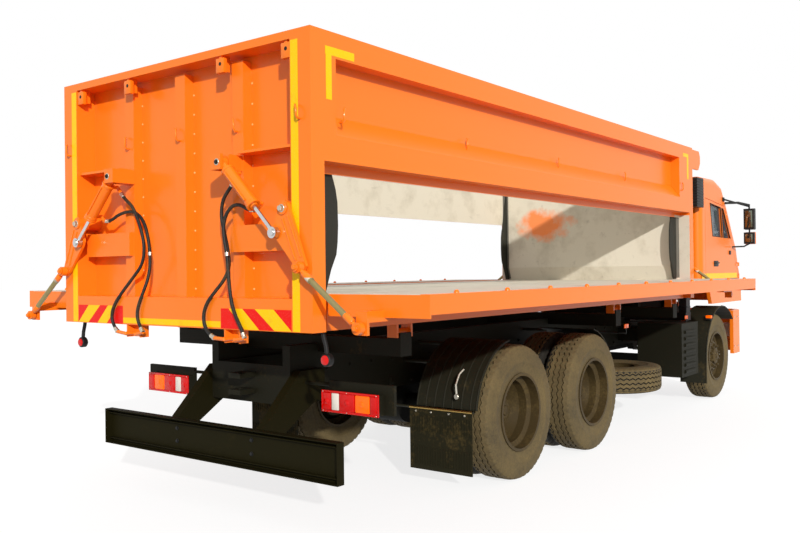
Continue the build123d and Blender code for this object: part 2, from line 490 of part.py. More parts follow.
# ---------------------------------------------------------------- tyres and rims
def tyre(centre, s):
    """One tyre about its centre point."""
    half = TYRE_WIDTH / 2
    seat = RIM_RADIUS + SEAT_GAP
    turned([(-half + 20, seat), (-half + 14, seat + 25), (-half, 400), (-half + 3, 455), (-half + 22, TYRE_RADIUS - 12),
            (-half + 45, TYRE_RADIUS), (half - 45, TYRE_RADIUS), (half - 22, TYRE_RADIUS - 12), (half - 3, 455), (half, 400),
            (half - 14, seat + 25), (half - 20, seat)], centre, s)


BARREL_HALF = TYRE_WIDTH / 2 - 12
DRUM_RADIUS = 205.0
HUB_RADIUS = 105.0
DISC = 12.0


def rim_barrel(centre, s):
    """Rim's barrel with a flange outside each tyre bead."""
    b = BARREL_HALF
    flange = RIM_RADIUS + RIM_FLANGE
    turned([(-b - 8, flange), (-b, flange), (-b, RIM_RADIUS), (b, RIM_RADIUS), (b, flange), (b + 8, flange),
            (b + 8, RIM_RADIUS - RIM_WALL), (60, RIM_RADIUS - RIM_WALL), (40, RIM_RADIUS - 45), (-40, RIM_RADIUS - 45),
            (-60, RIM_RADIUS - RIM_WALL), (-b - 8, RIM_RADIUS - RIM_WALL)], centre, s)


for name, s in SIDES:
    # front wheel: convex disc near its outer face
    centre = (AXLE_FRONT_X, s * FRONT_TYRE_Y, TYRE_RADIUS)
    with BuildPart() as front_tyre:
        tyre(centre, s)
    save(front_tyre.part, f"tyre_front_{name}")
    with BuildPart() as front_rim:
        rim_barrel(centre, s)
        turned([(25, RIM_RADIUS - 30), (70, 215), (95, 170), (95, 60), (83, 60), (83, 165), (55, 215), (10, RIM_RADIUS - 30)],
               centre, s)
        hub_in = FRONT_HUB_Y[0] - FRONT_TYRE_Y
        hub_out = FRONT_HUB_Y[1] - FRONT_TYRE_Y
        turned([(hub_in, SPINDLE_RADIUS + RUN_GAP), (hub_in, DRUM_RADIUS - 25), (hub_in + 60, DRUM_RADIUS - 25),
                (hub_in + 80, HUB_RADIUS), (hub_out + 30, HUB_RADIUS - 10), (hub_out + 45, HUB_RADIUS - 40), (hub_out + 45, 0),
                (hub_out - 10, 0), (hub_out - 10, SPINDLE_RADIUS + RUN_GAP)], centre, s)
        for k in range(10):
            a = radians(36 * k)
            rod((AXLE_FRONT_X + 190 * cos(a), s * (FRONT_TYRE_Y + 20), TYRE_RADIUS + 190 * sin(a)),
                (AXLE_FRONT_X + 190 * cos(a), s * (FRONT_TYRE_Y + 110), TYRE_RADIUS + 190 * sin(a)), 24, Mode.SUBTRACT)
    save(front_rim.part, f"rim_front_{name}")
    for row, axle_x in (("mid", AXLE_MID_X), ("rear", AXLE_REAR_X)):
        # twin wheels: two tyres on rims whose discs meet between them
        with BuildPart() as twin_tyres:
            for y in (TWIN_INNER_Y, TWIN_OUTER_Y):
                tyre((axle_x, s * y, TYRE_RADIUS), s)
        save(twin_tyres.part, f"tyres_{row}_{name}")
        with BuildPart() as twin_rims:
            for y in (TWIN_INNER_Y, TWIN_OUTER_Y):
                rim_barrel((axle_x, s * y, TYRE_RADIUS), s)
            middle = (TWIN_INNER_Y + TWIN_OUTER_Y) / 2
            centre = (axle_x, s * middle, TYRE_RADIUS)
            edge = (TWIN_OUTER_Y - TWIN_INNER_Y) / 2 - 30
            turned([(0, 60), (0, 200), (edge, RIM_RADIUS - 46), (edge, RIM_RADIUS - 30), (edge - 14, RIM_RADIUS - 30),
                    (-edge + 14, RIM_RADIUS - 30), (-edge, RIM_RADIUS - 30), (-edge, RIM_RADIUS - 46), (-2 * DISC, 200),
                    (-2 * DISC, 60)], centre, s)
            hub_in = SPINDLE_START + MOVE_GAP - middle
            hub_out = SPINDLE_END + 15 - middle
            turned([(hub_in, SPINDLE_RADIUS + RUN_GAP), (hub_in, DRUM_RADIUS), (-50, DRUM_RADIUS), (-20, HUB_RADIUS + 30),
                    (0, HUB_RADIUS + 30), (10, HUB_RADIUS), (hub_out + 20, HUB_RADIUS - 15), (hub_out + 30, HUB_RADIUS - 45),
                    (hub_out + 30, 0), (hub_out, 0), (hub_out, SPINDLE_RADIUS + RUN_GAP)], centre, s)
            for k in range(10):
                a = radians(36 * k)
                rod((axle_x + 172 * cos(a), s * (middle - 60), TYRE_RADIUS + 172 * sin(a)),
                    (axle_x + 172 * cos(a), s * (middle + 60), TYRE_RADIUS + 172 * sin(a)), 22, Mode.SUBTRACT)
        save(twin_rims.part, f"rims_{row}_{name}")

# ---------------------------------------------------------------- bed: floor with its beams, lugs and hoist bracket
POST_INNER_Y = 1080.0
POST_DEPTH = 110.0
WALL_Y = 1110.0             # inner face of the side panels
RIB_FACE = 75.0             # depth of the end walls' ribs behind the posts' face
PANEL_FACE = 145.0
PANEL_WALL = 40.0
SILL_Y = (1120.0, 1178.0)
FLOOR_PLATE = 60.0
HINGE_Y = 1225.0
HINGE_Z = 1468.0
HINGE_PIN = 12.0
HINGE_BOSS = 20.0
HINGE_STATIONS = (500.0, 2300.0, 4100.0, BED_LENGTH - 475.0)    # from the bed's rear
RIB_STATIONS = (600.0, 1350.0, 2100.0, 2850.0, BED_LENGTH - 2775.0, BED_LENGTH - 2025.0, BED_LENGTH - 1075.0,
                BED_LENGTH - 475.0)
BEAM_Y = (330.0, 400.0)
LUG_PLATE = 20.0
HOIST_EYE_RADIUS = 40.0
HOIST_TOP_Z = 1250.0
HOIST_TOP_PIN = 20.0
HOIST_SLIDE = 32.0          # the pin's travel each way in its bracket as the bed tips
HOIST_DROP = 8.0
with BuildPart() as bed_floor:
    rear = BED_REAR + PANEL_FACE + PANEL_WALL
    front = BED_FRONT - PANEL_FACE - PANEL_WALL
    block(rear, front, -SILL_Y[0], SILL_Y[0], BED_FLOOR_Z - FLOOR_PLATE, BED_FLOOR_Z)
    for distance in RIB_STATIONS:
        x = BED_REAR + distance
        block(x - 35, x + 35, -SILL_Y[0], SILL_Y[0], BED_BOTTOM_Z + 60, BED_FLOOR_Z - FLOOR_PLATE)
    for name, s in SIDES:
        side_block(rear, front, *SILL_Y, s, BED_BOTTOM_Z, BED_FLOOR_Z)
        side_block(rear, front, *BEAM_Y, s, BED_BOTTOM_Z, BED_FLOOR_Z - FLOOR_PLATE)
        # lugs that hold the tipping pin beside each cradle
        for x in CRADLE_BEAMS:
            for end in (-1, 1):
                lug = x + end * (CRADLE_HALF + MOVE_GAP + LUG_PLATE / 2)
                side_block(lug - LUG_PLATE / 2, lug + LUG_PLATE / 2, TIP_PIVOT_Y - 35, SILL_Y[0] + 5, s,
                           TIP_PIVOT_Z - 30, BED_FLOOR_Z - FLOOR_PLATE)
            reach = CRADLE_HALF + MOVE_GAP + LUG_PLATE
            rod((x - reach, s * TIP_PIVOT_Y, TIP_PIVOT_Z), (x + reach, s * TIP_PIVOT_Y, TIP_PIVOT_Z), TIP_PIN_RADIUS)
        # hinge lugs of the side board
        for distance in HINGE_STATIONS:
            x = BED_REAR + distance
            side_block(x - 10, x + 10, SILL_Y[1], HINGE_Y, s, HINGE_Z - HINGE_BOSS, HINGE_Z + HINGE_BOSS - 2)
            rod((x - 10, s * HINGE_Y, HINGE_Z), (x + 10, s * HINGE_Y, HINGE_Z), HINGE_BOSS)
            rod((x - 11, s * HINGE_Y, HINGE_Z), (x + 11, s * HINGE_Y, HINGE_Z), HINGE_PIN + RUN_GAP, Mode.SUBTRACT)
    # slotted bracket that the hoist's pin slides in
    for end in (-1, 1):
        near = HOIST_X + end * (HOIST_EYE_HALF + MOVE_GAP)
        far = near + end * 16
        slot_half = HOIST_SLIDE + HOIST_TOP_PIN + MOVE_GAP
        slot_low = HOIST_TOP_Z - HOIST_TOP_PIN - HOIST_DROP - MOVE_GAP
        slot_high = HOIST_TOP_Z + HOIST_TOP_PIN + MOVE_GAP
        block(near, far, -slot_half - 24, slot_half + 24, slot_low - 12, BED_FLOOR_Z - FLOOR_PLATE)
        block(near - end, far + end, -slot_half, slot_half, slot_low, slot_high, Mode.SUBTRACT)
save(bed_floor.part, "bed_floor")

# ---------------------------------------------------------------- bed: end walls
TOP_RAIL_Z = 2965.0
BOTTOM_RAIL_Z = 1478.0
WALL_RIBS_Y = (-555.0, 0.0, 555.0)
RIB_HALF = 50.0
RIB_TOP_Z = 2930.0
SHELF_Z = 2360.0
STEP_BOX_Y = (520.0, 1030.0)
STEP_BOX_Z = (1758.0, 1920.0)
STEP_BOX_FACE = 42.0
TOP_LUG_Y = (475.0, 1041.0)
LINER_BULGE = 105.0
CYLINDER_PIN = (560.0, 2297.0)      # (y, z) of each linkage pivot on the left side
LEVER_PIN = (1040.0, 1997.0)
LEVER_LINK_PIN = (1183.0, 1657.0)
LEVER_ROD_PIN = (994.0, 1859.0)
BOARD_LINK_PIN = (1620.0, 1330.0)
LEVER_LAYER = (10.0, 30.0)          # distance outside the bed's end face
LINK_LAYER = (38.0, 74.0)
CLEVIS_LAYER = (80.0, LINKAGE_DEPTH)
LINK_MIDDLE = (LINK_LAYER[0] + LINK_LAYER[1]) / 2
CYLINDER_PIN_RADIUS = 18.0
LEVER_PIN_RADIUS = 22.0
HOSE_PLATE_DEPTH = 60.0
HOSE_PLATE_DROP = 84.0
HOSE_END_Z = BED_BOTTOM_Z - 60.0
HOSE_ELBOW_DEPTH = -18.0
PORT_RADIUS = 12.0
# elbows at the hoses' lower ends: (side, distance from the centre plane, then where the elbow points: distance, height)
HOSE_ELBOWS = {
    "right_a": (-1, 515.0, 430.0, 1232.0),
    "right_b": (-1, 613.0, 702.0, 1240.0),
    "left_a": (1, 482.0, 575.0, 1238.0),
    "left_b": (1, 372.0, 290.0, 1244.0),
}
HOSE_BRACKETS = ((-1, 493.0, 635.0), (1, 350.0, 504.0))


def end_wall(face, inward, cylinders):
    """One end wall. face is its outer face, inward the direction into the bed."""

    def depth(a, b, y0, y1, z0, z1, mode=Mode.ADD):
        block(face + inward * a, face + inward * b, y0, y1, z0, z1, mode)

    depth(PANEL_FACE, PANEL_FACE + PANEL_WALL, -WALL_Y, WALL_Y, BED_BOTTOM_Z, TOP_RAIL_Z)
    depth(0, PANEL_FACE + PANEL_WALL, -POST_INNER_Y, POST_INNER_Y, TOP_RAIL_Z, BED_TOP_Z)
    depth(0, PANEL_FACE, -POST_INNER_Y, POST_INNER_Y, BED_BOTTOM_Z, BOTTOM_RAIL_Z)
    for y in WALL_RIBS_Y:
        depth(RIB_FACE, PANEL_FACE, y - RIB_HALF, y + RIB_HALF, BOTTOM_RAIL_Z, RIB_TOP_Z)
    # liner that bulges into the bed and slopes back to the floor
    back = PANEL_FACE + PANEL_WALL
    liner = [(back, TOP_RAIL_Z - 20), (back + LINER_BULGE - 40, TOP_RAIL_Z - 60), (back + LINER_BULGE - 40, 1660.0),
             (back + 8, BED_FLOOR_Z), (back, BED_FLOOR_Z)]
    plate_y([(face + inward * d, z) for d, z in liner], -POST_INNER_Y, POST_INNER_Y)
    for name, s in SIDES:
        low, high = sorted((s * POST_INNER_Y, s * BED_HALF_WIDTH))
        depth(0, POST_DEPTH, low, high, BED_BOTTOM_Z, BED_TOP_Z)
        low, high = sorted((s * POST_INNER_Y, s * WALL_Y))
        depth(0, PANEL_FACE + PANEL_WALL, low, high, BED_BOTTOM_Z, BED_TOP_Z)
        # shelf and closed box between the outer rib and the post
        low, high = sorted((s * (WALL_RIBS_Y[2] + RIB_HALF), s * POST_INNER_Y))
        depth(20, PANEL_FACE, low, high, SHELF_Z - 8, SHELF_Z + 8)
        low, high = sorted((s * STEP_BOX_Y[0], s * STEP_BOX_Y[1]))
        depth(STEP_BOX_FACE, PANEL_FACE, low, high, *STEP_BOX_Z)
        for y in TOP_LUG_Y:
            depth(10, 80, s * y - 10, s * y + 10, TOP_RAIL_Z - 90, TOP_RAIL_Z)
        # boss and pin of the rocker lever
        y, z = LEVER_PIN
        boss = (face + inward * PANEL_FACE, s * y, z)
        shoulder = (face - inward * (LEVER_LAYER[0] - 2), s * y, z)
        rod(boss, shoulder, 44)
        rod(shoulder, (face - inward * (LEVER_LAYER[1] + 2), s * y, z), LEVER_PIN_RADIUS)
        rod((face - inward * (LEVER_LAYER[1] + 1), s * y, z), (face - inward * (LEVER_LAYER[1] + 7), s * y, z), 30)
        if cylinders:
            # clevis of the cylinder, closed on the side away from it
            y, z = CYLINDER_PIN
            low, high = sorted((s * (y - 62), s * (y + 33)))
            depth(RIB_FACE, -LEVER_LAYER[1], low, high, z - 45, z + 50)
            depth(-CLEVIS_LAYER[0], -CLEVIS_LAYER[1], low, high, z - 45, z + 50)
            low, high = sorted((s * (y - 62), s * (y - 42)))
            depth(-LEVER_LAYER[0], -CLEVIS_LAYER[1], low, high, z - 45, z + 50)
            rod((face - inward * (LEVER_LAYER[1] - 2), s * y, z), (face - inward * (CLEVIS_LAYER[0] + 2), s * y, z),
                CYLINDER_PIN_RADIUS)


with BuildPart() as bed_rear_wall:
    end_wall(BED_REAR, 1, True)
    # brackets that hold the hoses' lower ends
    plate = BED_REAR + HOSE_PLATE_DEPTH
    for s, inner, outer in HOSE_BRACKETS:
        side_block(plate, plate + 12, inner, outer, s, BED_BOTTOM_Z - HOSE_PLATE_DROP, BED_BOTTOM_Z)
        for y in (inner, outer - 10):
            side_block(BED_REAR + 4, plate + 1, y, y + 10, s, BED_BOTTOM_Z - HOSE_PLATE_DROP, BED_BOTTOM_Z)
    for s, y, elbow_y, elbow_z in HOSE_ELBOWS.values():
        corner = (BED_REAR + HOSE_ELBOW_DEPTH, s * y, HOSE_END_Z)
        rod((plate, s * y, HOSE_END_Z), corner, PORT_RADIUS)
        with Locations(corner):
            Sphere(PORT_RADIUS + 1)
        rod(corner, (BED_REAR + HOSE_ELBOW_DEPTH, s * elbow_y, elbow_z), PORT_RADIUS)
save(bed_rear_wall.part, "bed_rear_wall")

FRONT_LUG_REACH = 285.0
FRONT_LUG_Y = (1212.0, 1236.0)
FRONT_LUG_Z = (2780.0, 3000.0)
with BuildPart() as bed_front_wall:
    end_wall(BED_FRONT, -1, False)
    for name, s in SIDES:
        x = BED_FRONT - 10
        low, high = sorted((s * FRONT_LUG_Y[0], s * FRONT_LUG_Y[1]))
        plate_y([(x, FRONT_LUG_Z[0]), (x, FRONT_LUG_Z[1]), (BED_FRONT + FRONT_LUG_REACH - 40, FRONT_LUG_Z[1]),
                 (BED_FRONT + FRONT_LUG_REACH, FRONT_LUG_Z[1] - 60), (BED_FRONT + FRONT_LUG_REACH, FRONT_LUG_Z[0] + 80),
                 (BED_FRONT + FRONT_LUG_REACH - 60, FRONT_LUG_Z[0])], low, high)
save(bed_front_wall.part, "bed_front_wall")

# ---------------------------------------------------------------- bed: upper side panels
PANEL_FRAME_REAR = 215.0
PANEL_FRAME_FRONT = BED_LENGTH - 435.0
SIDE_TOP_RAIL_Z = 2865.0
SIDE_RECESS_Z = 2550.0
SIDE_SLOPE_Z = 2420.0
SIDE_BOTTOM_Z = 2265.0
SIDE_LIP_Z = 2210.0
SIDE_LIP_Y = 1130.0
SIDE_RECESS_Y = 1140.0
side_section = [(BED_HALF_WIDTH, BED_TOP_Z), (BED_HALF_WIDTH, SIDE_TOP_RAIL_Z), (SIDE_RECESS_Y, SIDE_TOP_RAIL_Z),
                (SIDE_RECESS_Y, SIDE_RECESS_Z), (BED_HALF_WIDTH, SIDE_SLOPE_Z), (BED_HALF_WIDTH, SIDE_BOTTOM_Z),
                (SIDE_LIP_Y, SIDE_BOTTOM_Z), (SIDE_LIP_Y, SIDE_LIP_Z), (WALL_Y, SIDE_LIP_Z), (WALL_Y, BED_TOP_Z)]
frame_section = [(BED_HALF_WIDTH, BED_TOP_Z), (BED_HALF_WIDTH, SIDE_BOTTOM_Z), (SIDE_LIP_Y, SIDE_BOTTOM_Z),
                 (SIDE_LIP_Y, SIDE_LIP_Z), (WALL_Y, SIDE_LIP_Z), (WALL_Y, BED_TOP_Z)]
with BuildPart() as bed_side_panels:
    for name, s in SIDES:
        plate_x([(s * y, z) for y, z in side_section], BED_REAR + PANEL_FRAME_REAR, BED_REAR + PANEL_FRAME_FRONT)
        for start, stop in ((POST_DEPTH, PANEL_FRAME_REAR), (PANEL_FRAME_FRONT, BED_LENGTH - POST_DEPTH)):
            plate_x([(s * y, z) for y, z in frame_section], BED_REAR + start, BED_REAR + stop)
save(bed_side_panels.part, "bed_side_panels")

# ---------------------------------------------------------------- folding side boards
BOARD_REAR = 118.0
BOARD_FRONT = BED_LENGTH - 155.0
BOARD_INNER_Y = 1250.0
BOARD_OUTER_Y = 1960.0
BOARD_TOP_Z = 1508.0
BOARD_SHEET = 12.0
BOARD_RAIL_Z = 1400.0
BOARD_END_Z = 1380.0
BOARD_RIBS = (700.0, 1400.0, 2700.0, 3500.0, BED_LENGTH - 1675.0, BED_LENGTH - 975.0)
for name, s in SIDES:
    with BuildPart() as side_board:
        rear = BED_REAR + BOARD_REAR
        front = BED_REAR + BOARD_FRONT
        side_block(rear, front, BOARD_INNER_Y, BOARD_OUTER_Y, s, BOARD_TOP_Z - BOARD_SHEET, BOARD_TOP_Z)
        side_block(rear, front, BOARD_OUTER_Y - 80, BOARD_OUTER_Y, s, BOARD_RAIL_Z, BOARD_TOP_Z)
        side_block(rear, front, BOARD_INNER_Y, BOARD_INNER_Y + 50, s, BOARD_RAIL_Z, BOARD_TOP_Z)
        for x in (rear, front - 12):
            side_block(x, x + 12, BOARD_INNER_Y, BOARD_OUTER_Y, s, BOARD_END_Z, BOARD_TOP_Z)
        for distance in BOARD_RIBS:
            x = BED_REAR + distance
            side_block(x - 30, x + 30, BOARD_INNER_Y, BOARD_OUTER_Y, s, BOARD_RAIL_Z + 25, BOARD_TOP_Z)
        # ears and pin of each hinge
        for distance in HINGE_STATIONS:
            x = BED_REAR + distance
            for end in (-1, 1):
                near = x + end * 16
                far = near + end * 14
                side_block(min(near, far), max(near, far), HINGE_Y, BOARD_INNER_Y + 20, s,
                           HINGE_Z - HINGE_BOSS, HINGE_Z + HINGE_BOSS)
                rod((min(near, far), s * HINGE_Y, HINGE_Z), (max(near, far), s * HINGE_Y, HINGE_Z), HINGE_BOSS)
            rod((x - 30, s * HINGE_Y, HINGE_Z), (x + 30, s * HINGE_Y, HINGE_Z), HINGE_PIN)
        # arm that the link pushes, at each end
        y, z = BOARD_LINK_PIN
        for face, out in ((BED_REAR, -1), (BED_FRONT, 1)):
            inner = BED_REAR + 300 if out < 0 else front - 120
            block(*sorted((inner, face + out * LEVER_LAYER[1])), *sorted((s * (y - 38), s * (y + 38))),
                  BOARD_END_Z - 20, BOARD_RAIL_Z + 20)
            block(*sorted((face + out * LEVER_LAYER[0], face + out * LEVER_LAYER[1])),
                  *sorted((s * (y - 38), s * (y + 38))), z - 38, BOARD_RAIL_Z + 20)
    save(side_board.part, f"side_board_{name}")


# ---------------------------------------------------------------- linkages that fold the boards
ROD_RADIUS = 13.0
BARREL_RADIUS = 38.0
BARREL_BORE = 24.0
BARREL_LENGTH = 380.0
PISTON_AT = 330.0
PORT_BASE = 90.0
PORT_TIP = 362.0
HOSE_DEPTH = 22.0
EYE_RADIUS = 33.0
LINK_PIN_RADIUS = 16.0


def at_layer(face, out, layer, s, point):
    """Point at a distance outside the end face, on side s."""
    return (face + out * layer, s * point[0], point[1])


for face, out, end in ((BED_REAR, -1, "rear"), (BED_FRONT, 1, "front")):
    for name, s in SIDES:
        with BuildPart() as lever:
            corners = [(LEVER_PIN[0] + 40, LEVER_PIN[1] + 25), (LEVER_PIN[0] - 30, LEVER_PIN[1] + 34),
                       (LEVER_ROD_PIN[0] - 34, LEVER_ROD_PIN[1] + 10), (LEVER_ROD_PIN[0] - 10, LEVER_ROD_PIN[1] - 34),
                       (LEVER_LINK_PIN[0] - 38, LEVER_LINK_PIN[1] - 8), (LEVER_LINK_PIN[0] + 4, LEVER_LINK_PIN[1] - 36),
                       (LEVER_LINK_PIN[0] + 38, LEVER_LINK_PIN[1] + 8)]
            inner = face + out * LEVER_LAYER[0]
            outer = face + out * LEVER_LAYER[1]
            plate_x([(s * y, z) for y, z in corners], inner, outer)
            rod(at_layer(face, out, LEVER_LAYER[0], s, LEVER_PIN), at_layer(face, out, LEVER_LAYER[1], s, LEVER_PIN), 46)
            rod(at_layer(face, out, LEVER_LAYER[1] - 2, s, LEVER_LINK_PIN),
                at_layer(face, out, LINK_LAYER[1] + 8, s, LEVER_LINK_PIN), LINK_PIN_RADIUS)
            rod(at_layer(face, out, LINK_LAYER[1] + 4, s, LEVER_LINK_PIN),
                at_layer(face, out, LINK_LAYER[1] + 12, s, LEVER_LINK_PIN), 24)
            rod(at_layer(face, out, LEVER_LAYER[0] - 1, s, LEVER_PIN), at_layer(face, out, LEVER_LAYER[1] + 1, s, LEVER_PIN),
                LEVER_PIN_RADIUS + RUN_GAP, Mode.SUBTRACT)
        save(lever.part, f"lever_{end}_{name}")
        with BuildPart() as link:
            rod(at_layer(face, out, LINK_MIDDLE, s, LEVER_LINK_PIN), at_layer(face, out, LINK_MIDDLE, s, BOARD_LINK_PIN),
                ROD_RADIUS - 1)
            for point in (LEVER_LINK_PIN, BOARD_LINK_PIN):
                rod(at_layer(face, out, LINK_LAYER[0], s, point), at_layer(face, out, LINK_LAYER[1], s, point), EYE_RADIUS)
            rod(at_layer(face, out, LINK_LAYER[1], s, BOARD_LINK_PIN), at_layer(face, out, LINK_LAYER[1] + 8, s, BOARD_LINK_PIN),
                20)
            rod(at_layer(face, out, LINK_LAYER[0] - 1, s, LEVER_LINK_PIN), at_layer(face, out, LINK_LAYER[1] + 1, s, LEVER_LINK_PIN),
                LINK_PIN_RADIUS + RUN_GAP, Mode.SUBTRACT)
        save(link.part, f"link_{end}_{name}")

run = (LEVER_ROD_PIN[0] - CYLINDER_PIN[0], LEVER_ROD_PIN[1] - CYLINDER_PIN[1])
run_length = (run[0] ** 2 + run[1] ** 2) ** 0.5
along = (run[0] / run_length, run[1] / run_length)


def on_axis(distance):
    """(y, z) at a distance along the cylinder from its base pin."""
    return (CYLINDER_PIN[0] + along[0] * distance, CYLINDER_PIN[1] + along[1] * distance)


def beside(distance, offset):
    """(y, z) beside the cylinder, towards the middle and down."""
    y, z = on_axis(distance)
    return (y + along[1] * offset, z - along[0] * offset)


for name, s in SIDES:
    with BuildPart() as barrel:
        rod(at_layer(BED_REAR, -1, LINK_LAYER[0], s, CYLINDER_PIN), at_layer(BED_REAR, -1, LINK_LAYER[1], s, CYLINDER_PIN),
            EYE_RADIUS - 1)
        rod(at_layer(BED_REAR, -1, LINK_MIDDLE, s, on_axis(25)), at_layer(BED_REAR, -1, LINK_MIDDLE, s, on_axis(75)), 22)
        rod(at_layer(BED_REAR, -1, LINK_MIDDLE, s, on_axis(70)), at_layer(BED_REAR, -1, LINK_MIDDLE, s, on_axis(BARREL_LENGTH)),
            BARREL_RADIUS)
        # ports: stubs towards the wall, each ending in an elbow
        for distance, reach in ((PORT_BASE, 60), (PORT_TIP, 50)):
            rod(at_layer(BED_REAR, -1, LINK_MIDDLE, s, on_axis(distance)),
                at_layer(BED_REAR, -1, -HOSE_DEPTH, s, on_axis(distance)), PORT_RADIUS)
            rod(at_layer(BED_REAR, -1, -HOSE_DEPTH, s, on_axis(distance)),
                at_layer(BED_REAR, -1, -HOSE_DEPTH, s, beside(distance, reach)), PORT_RADIUS)
            with Locations(at_layer(BED_REAR, -1, -HOSE_DEPTH, s, on_axis(distance))):
                Sphere(PORT_RADIUS + 1)
        y, z = beside(PORT_TIP, 50)
        with Locations((BED_REAR + HOSE_DEPTH, s * y, z)):
            Sphere(PORT_RADIUS + 1)
        rod((BED_REAR + HOSE_DEPTH, s * y, z), (BED_REAR + HOSE_DEPTH, s * (y - 20), z), PORT_RADIUS)
        rod(at_layer(BED_REAR, -1, LINK_MIDDLE, s, on_axis(88)), at_layer(BED_REAR, -1, LINK_MIDDLE, s, on_axis(BARREL_LENGTH - 30)),
            BARREL_BORE, Mode.SUBTRACT)
        rod(at_layer(BED_REAR, -1, LINK_MIDDLE, s, on_axis(BARREL_LENGTH - 31)),
            at_layer(BED_REAR, -1, LINK_MIDDLE, s, on_axis(BARREL_LENGTH + 1)), ROD_RADIUS + RUN_GAP, Mode.SUBTRACT)
        rod(at_layer(BED_REAR, -1, LINK_LAYER[0] - 1, s, CYLINDER_PIN), at_layer(BED_REAR, -1, LINK_LAYER[1] + 1, s, CYLINDER_PIN),
            CYLINDER_PIN_RADIUS + RUN_GAP, Mode.SUBTRACT)
    save(barrel.part, f"cylinder_{name}")
    with BuildPart() as piston_rod:
        rod(at_layer(BED_REAR, -1, LINK_MIDDLE, s, on_axis(PISTON_AT)), at_layer(BED_REAR, -1, LINK_MIDDLE, s, on_axis(run_length)),
            ROD_RADIUS)
        rod(at_layer(BED_REAR, -1, LINK_MIDDLE, s, on_axis(PISTON_AT - 30)),
            at_layer(BED_REAR, -1, LINK_MIDDLE, s, on_axis(PISTON_AT)), BARREL_BORE - RUN_GAP)
        rod(at_layer(BED_REAR, -1, LINK_LAYER[0], s, LEVER_ROD_PIN), at_layer(BED_REAR, -1, LINK_LAYER[1], s, LEVER_ROD_PIN),
            EYE_RADIUS)
        rod(at_layer(BED_REAR, -1, LINK_LAYER[1], s, LEVER_ROD_PIN), at_layer(BED_REAR, -1, LINK_LAYER[1] + 8, s, LEVER_ROD_PIN), 20)
    save(piston_rod.part, f"piston_rod_{name}")

# ---------------------------------------------------------------- tipping hoist: barrel and two stages
HOIST_RADII = (92.0, 74.0, 54.0)
HOIST_BARREL_TOP = 1165.0
HOIST_STAGE_BOTTOM = 690.0
HOIST_WALL = 14.0
with BuildPart() as hoist_barrel:
    rod((HOIST_X - HOIST_EYE_HALF, 0, HOIST_BASE_Z), (HOIST_X + HOIST_EYE_HALF, 0, HOIST_BASE_Z), 50)
    rod((HOIST_X, 0, HOIST_BASE_Z + 35), (HOIST_X, 0, HOIST_BARREL_TOP), HOIST_RADII[0])
    rod((HOIST_X, 0, HOIST_STAGE_BOTTOM - 8), (HOIST_X, 0, HOIST_BARREL_TOP + 1), HOIST_RADII[1] + RUN_GAP, Mode.SUBTRACT)
    rod((HOIST_X - HOIST_EYE_HALF - 1, 0, HOIST_BASE_Z), (HOIST_X + HOIST_EYE_HALF + 1, 0, HOIST_BASE_Z),
        HOIST_PIN_RADIUS + RUN_GAP, Mode.SUBTRACT)
save(hoist_barrel.part, "hoist_barrel")
with BuildPart() as hoist_stage:
    rod((HOIST_X, 0, HOIST_STAGE_BOTTOM), (HOIST_X, 0, HOIST_BARREL_TOP + 20), HOIST_RADII[1])
    rod((HOIST_X, 0, HOIST_STAGE_BOTTOM - 1), (HOIST_X, 0, HOIST_BARREL_TOP + 21), HOIST_RADII[2] + RUN_GAP, Mode.SUBTRACT)
save(hoist_stage.part, "hoist_stage")
with BuildPart() as hoist_rod:
    rod((HOIST_X, 0, HOIST_STAGE_BOTTOM + 10), (HOIST_X, 0, HOIST_TOP_Z - 100), HOIST_RADII[2])
    block(HOIST_X - HOIST_EYE_HALF, HOIST_X + HOIST_EYE_HALF, -32, 32, HOIST_TOP_Z - 105, HOIST_TOP_Z)
    rod((HOIST_X - HOIST_EYE_HALF, 0, HOIST_TOP_Z), (HOIST_X + HOIST_EYE_HALF, 0, HOIST_TOP_Z), HOIST_EYE_RADIUS)
    reach = HOIST_EYE_HALF + MOVE_GAP + 24
    rod((HOIST_X - reach, 0, HOIST_TOP_Z), (HOIST_X + reach, 0, HOIST_TOP_Z), HOIST_TOP_PIN)
save(hoist_rod.part, "hoist_rod")

# ---------------------------------------------------------------- hydraulic hoses at the rear wall
HOSE_RADIUS = 11.0
HOSE_START_GAP = 2.5
port_a = beside(PORT_BASE, 60 + HOSE_START_GAP)
port_a_next = beside(PORT_BASE, 120)
port_b = (beside(PORT_TIP, 50)[0] - 20 - HOSE_START_GAP, beside(PORT_TIP, 50)[1])
port_b_next = (port_b[0] - 55, port_b[1])
